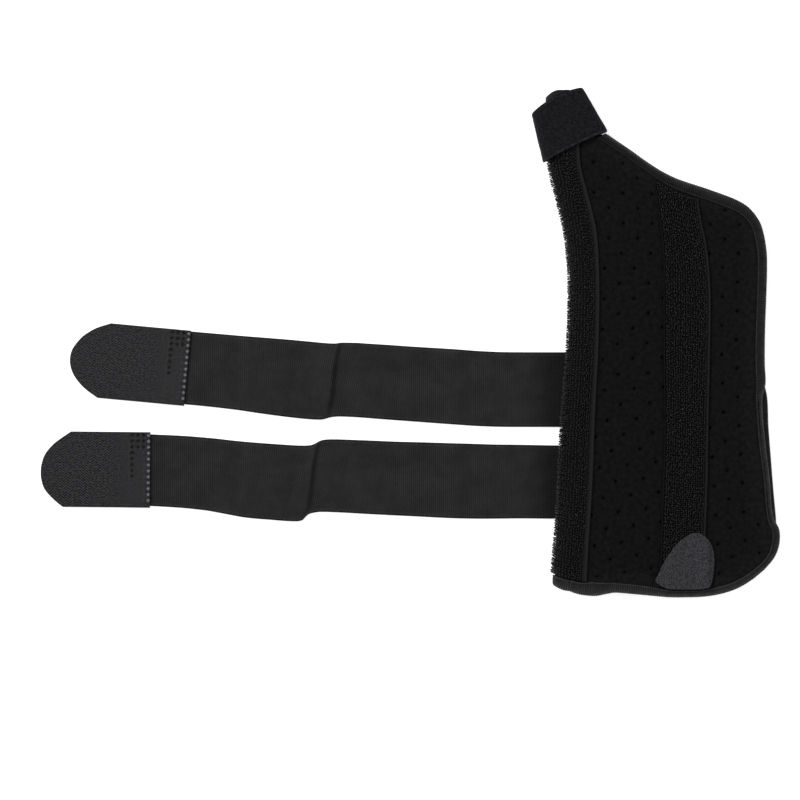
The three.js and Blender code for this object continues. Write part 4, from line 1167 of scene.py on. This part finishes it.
def strap_middle(strap, out):
    aside = read_table(strap["route"], out) * STRAP_WIDTH
    return -out * strap["reach"], strap["height"] * SPLINT_LENGTH + aside


def strap_piece(name, strap, finish):
    length = strap["reach"] + STRAP_ROOT
    rows = round(length / STRAP_STEP)
    far = np.linspace(length, 0, rows)[:, None]  # from the root
    out = (far - STRAP_ROOT) / strap["reach"]
    over = (0.5 - (1 - np.cos(np.linspace(0, math.pi, STRAP_COLUMNS))) / 2)[None, :]
    up = over * STRAP_WIDTH * read_table(strap["route"], out, 2)
    x, y = strap_middle(strap, out)
    near_wrinkle = smoothstep(WRINKLE_SPREAD - np.abs(out - WRINKLE_PLACE), 0, WRINKLE_SPREAD)
    near_tab = smoothstep(out, 1 - TAB_SPREAD, 1)
    slant = up * (math.tan(WRINKLE_LEAN) * near_wrinkle - math.tan(strap["turn"]) * near_tab)
    off = (out - WRINKLE_PLACE) * strap["reach"] + WRINKLE_SWAY * np.sin(2 * math.pi * over)
    rise = np.where(off > 0, 1 - smoothstep(off, 0, WRINKLE_RISE), 1 - smoothstep(-off, 0, WRINKLE_FALL))
    rise = WRINKLE_HEIGHT * rise * (WRINKLE_SIDE + (1 - WRINKLE_SIDE) * np.cos(over * math.pi))
    rib = STRAP_RIB_HEIGHT * (0.5 - 0.5 * np.cos(2 * math.pi * far / STRAP_RIB))
    edge = (0.5 - np.abs(over)) * STRAP_WIDTH
    roll = rolled(edge, 0.6, 0.5)
    top = STRAP_THICKNESS - STRAP_RIB_HEIGHT + rib * np.clip(edge / 0.5, 0, 1) - roll + rise
    outer, inner = (placed(np.stack(np.broadcast_arrays(x + slant, y + up, z), -1))
                    for z in (top, rise + 0.25 * roll))
    return wall_piece(name, outer, inner, (far, (over + 0.5) * STRAP_WIDTH), finish)


def elastic_finish():
    """Knitted elastic: fine wales run along the strap between its cross ribs."""
    finish, add, feed = new_finish("elastic", grey(0.017), 0.7, 0.1)
    flat = cloth_place(add)
    wales = threads(add, flat, 520.0, "Y", 1.2, Detail=1.0)
    picks = threads(add, flat, 640.0, "X", 1.5, Detail=1.0)
    roughen(add, feed, 0.35, 0.0002, reckon(add, "ADD", wales, picks))
    tint = mottled(add, speckle(add, flat, 90.0, 5.0, Roughness=0.7), grey(0.0175, 1.04), grey(0.0262))
    run = cloth_axis(add, flat, "X")
    valley = spread(add, rib_wave(add, run, STRAP_RIB), -1.0, 1.0, 1.22, 0.72)
    # Painted shadow: the strap's colour darkens towards the shell's edge, where the shell over it shades
    # it.
    painted_shell_shadow = spread(add, run, STRAP_ROOT * MM, (STRAP_ROOT + SHELL_SHADOW_REACH) * MM, 0.5, 1.0)
    share = reckon(add, "MULTIPLY", cloth_axis(add, flat, "Y"), 1 / (STRAP_WIDTH * MM))
    cut = 1 / STRAP_WIDTH  # a millimetre, as a share of the width
    side = [(0.0, 0.3), (0.35 * cut, 0.4), (0.9 * cut, 1.3), (1.4 * cut, 1.25), (2.0 * cut, 1)]
    edge = grey_ramp(add, share, side + [(1 - place, level) for place, level in reversed(side)], 1.0)
    ribbed = dimmed(add, tint, reckon(add, "MULTIPLY", valley, painted_shell_shadow))
    feed("Base Color", add("ShaderNodeVectorMath", {0: ribbed, 1: edge}, operation="MULTIPLY"))
    return finish


elastic = elastic_finish()
for side, strap in STRAPS.items():
    piece = strap_piece(f"{side}_strap_cloth", strap, elastic)
    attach(piece, "root")
    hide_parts(f"{side}_strap")


# ---- Hook tabs
# Moulded hook tape on a zigzag-woven backing that faces up, its far end cut round. It is welded
# to the strap's end with four rows of sunk dots, painted dark as painted shade; the outermost row
# has melted glossy and is painted pale, a painted glint.

TAB_WIDTH = 38.4
TAB_ASIDE = 0.25  # how far the tab is sewn on below the strap's middle
TAB_THICKNESS = 1.6
TAB_LAP = 10.2
TAB_DROP = 4.0
TAB_ROWS = 132
TAB_COLUMNS = 180
ZIGZAG_PITCH = 1.36  # from one woven line to the next
ZIGZAG_PERIOD = 3.4  # along the tab
ZIGZAG_SWING = 0.85
ZIGZAG_RELIEF = 0.14
WELD_PITCH = 3.0
WELD_RADIUS = 0.95
WELD_DEPTH = 0.4
WELD_COLUMNS = [  # from the tab's end over the strap: place, whole dots, size, and gloss and painted glint of the rest
    (0.95, 12, 1.0, 1.0), (3.4, 3, 0.5, 0.35), (6.2, 3, 0.45, 0.3), (9.2, 8, 0.35, 0.4),
]
WELD_ROWS = 12
WELD_MARGIN = 1.6  # first dot to the tab's upper side


def hook_tab(name, strap, finish):
    half = TAB_WIDTH / 2
    over = np.linspace(-half, half, TAB_ROWS)[:, None]  # towards the upper side
    end = read_table(strap["tab_end"], over / half)
    run = np.linspace(0, 1, TAB_COLUMNS)[None, :] * end
    lap_end = TAB_LAP + CLEARANCE
    lift = (STRAP_THICKNESS + CLEARANCE) * (1 - smoothstep((run - lap_end) / TAB_DROP, -0.1, 1.1))
    out = run - TAB_LAP
    swing = ZIGZAG_SWING * (np.abs((run / ZIGZAG_PERIOD) % 1 - 0.5) * 4 - 2)
    woven = ZIGZAG_RELIEF * (0.5 + 0.5 * np.cos(2 * math.pi * (over + half + swing) / ZIGZAG_PITCH))
    rim = np.minimum(np.minimum(half - np.abs(over), end - run), run)
    roll = rolled(rim, 0.5, 0.4)
    dots, weld_gloss_and_painted_glint = np.zeros_like(run), np.zeros_like(run)
    for place, whole, size, gloss_and_painted_glint in WELD_COLUMNS:
        for row in range(WELD_ROWS):
            centre = half - WELD_MARGIN - row * WELD_PITCH
            shrunk = 1.0 if row < whole else size
            dot = smoothstep(1 - np.hypot(run - place, over - centre) / (WELD_RADIUS * shrunk), 0.0, 0.45)
            dots = np.maximum(dots, dot * shrunk)
            # Melted dots are glossy and are also painted pale, a painted glint.
            if place == WELD_COLUMNS[0][0] or row >= whole:
                weld_gloss_and_painted_glint = np.maximum(weld_gloss_and_painted_glint, dot * gloss_and_painted_glint)
    top = lift + TAB_THICKNESS - ZIGZAG_RELIEF + woven * (1 - dots) * np.clip(rim / 0.4, 0, 1)
    top = top - roll - WELD_DEPTH * dots
    x0, y0 = strap_middle(strap, 1.0)
    away = (-math.cos(strap["turn"]), -math.sin(strap["turn"]))
    aside = (away[1], -away[0])
    x = x0 + out * away[0] + over * aside[0]
    y = y0 + out * away[1] + over * aside[1] - TAB_ASIDE
    outer, inner = (placed(np.stack(np.broadcast_arrays(x, y, z), -1)) for z in (top, lift + 0.2 * roll))
    piece = wall_piece(name, outer, inner, (run, over + half), finish, turned=True)
    # Marks for the finish: painted shade in the sunk dots, and gloss with a painted glint on the melted
    # ones.
    for label, values in (("painted_pit_shade", dots), ("gloss_and_painted_glint", weld_gloss_and_painted_glint)):
        mark(piece, label, np.concatenate([values.ravel(), np.zeros(values.size)]))
    return piece


def hook_backing_finish():
    """Charcoal zigzag weave painted paler on its crests and darker in its grooves, painted light and shade;
    weld pits painted dark, painted shade; melted welds glossy and painted pale, a painted glint.
    """
    finish, add, feed = new_finish("hook_backing", grey(0.02, 1.075), 0.6, 0.13)
    flat = cloth_place(add)
    period = reckon(add, "DIVIDE", cloth_axis(add, flat, "X"), ZIGZAG_PERIOD * MM)
    fold = reckon(add, "PINGPONG", period, 0.5)
    swing = reckon(add, "MULTIPLY_ADD", fold, -4 * ZIGZAG_SWING * MM, cloth_axis(add, flat, "Y"))
    uneven = spread(add, speckle(add, flat, 900.0, 2.0), 0.36, 0.64, -0.7, 0.7)
    mixed = reckon(add, "ADD", rib_wave(add, swing, ZIGZAG_PITCH), uneven)
    # Painted light and shade: the woven lines are painted paler on their crests and darker in their
    # grooves, besides a random unevenness.
    woven = blend(add, spread(add, mixed, -0.9, 1.3), grey(0.002, 1.1), grey(0.05, 1.08))
    glossy_and_painted_glint = marked(add, "gloss_and_painted_glint")
    # The sunk weld dots are painted near black, painted shade in the pits.
    painted_pit_shade = blend(add, marked(add, "painted_pit_shade"), woven, grey(0.003, 1.13))
    # Melted welds are painted pale grey, a painted glint, besides their lower roughness.
    feed("Base Color", blend(add, glossy_and_painted_glint, painted_pit_shade, grey(0.17)))
    feed("Roughness", spread(add, glossy_and_painted_glint, 0.0, 1.0, 0.6, 0.25))
    roughen(add, feed, 0.25, 0.0001, threads(add, flat, 900.0, "X", 1.0))
    return finish


hook_backing = hook_backing_finish()
for side, strap in STRAPS.items():
    piece = hook_tab(f"{side}_strap_tab_cloth", strap, hook_backing)
    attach(piece, "root")
    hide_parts(f"{side}_strap_tab")
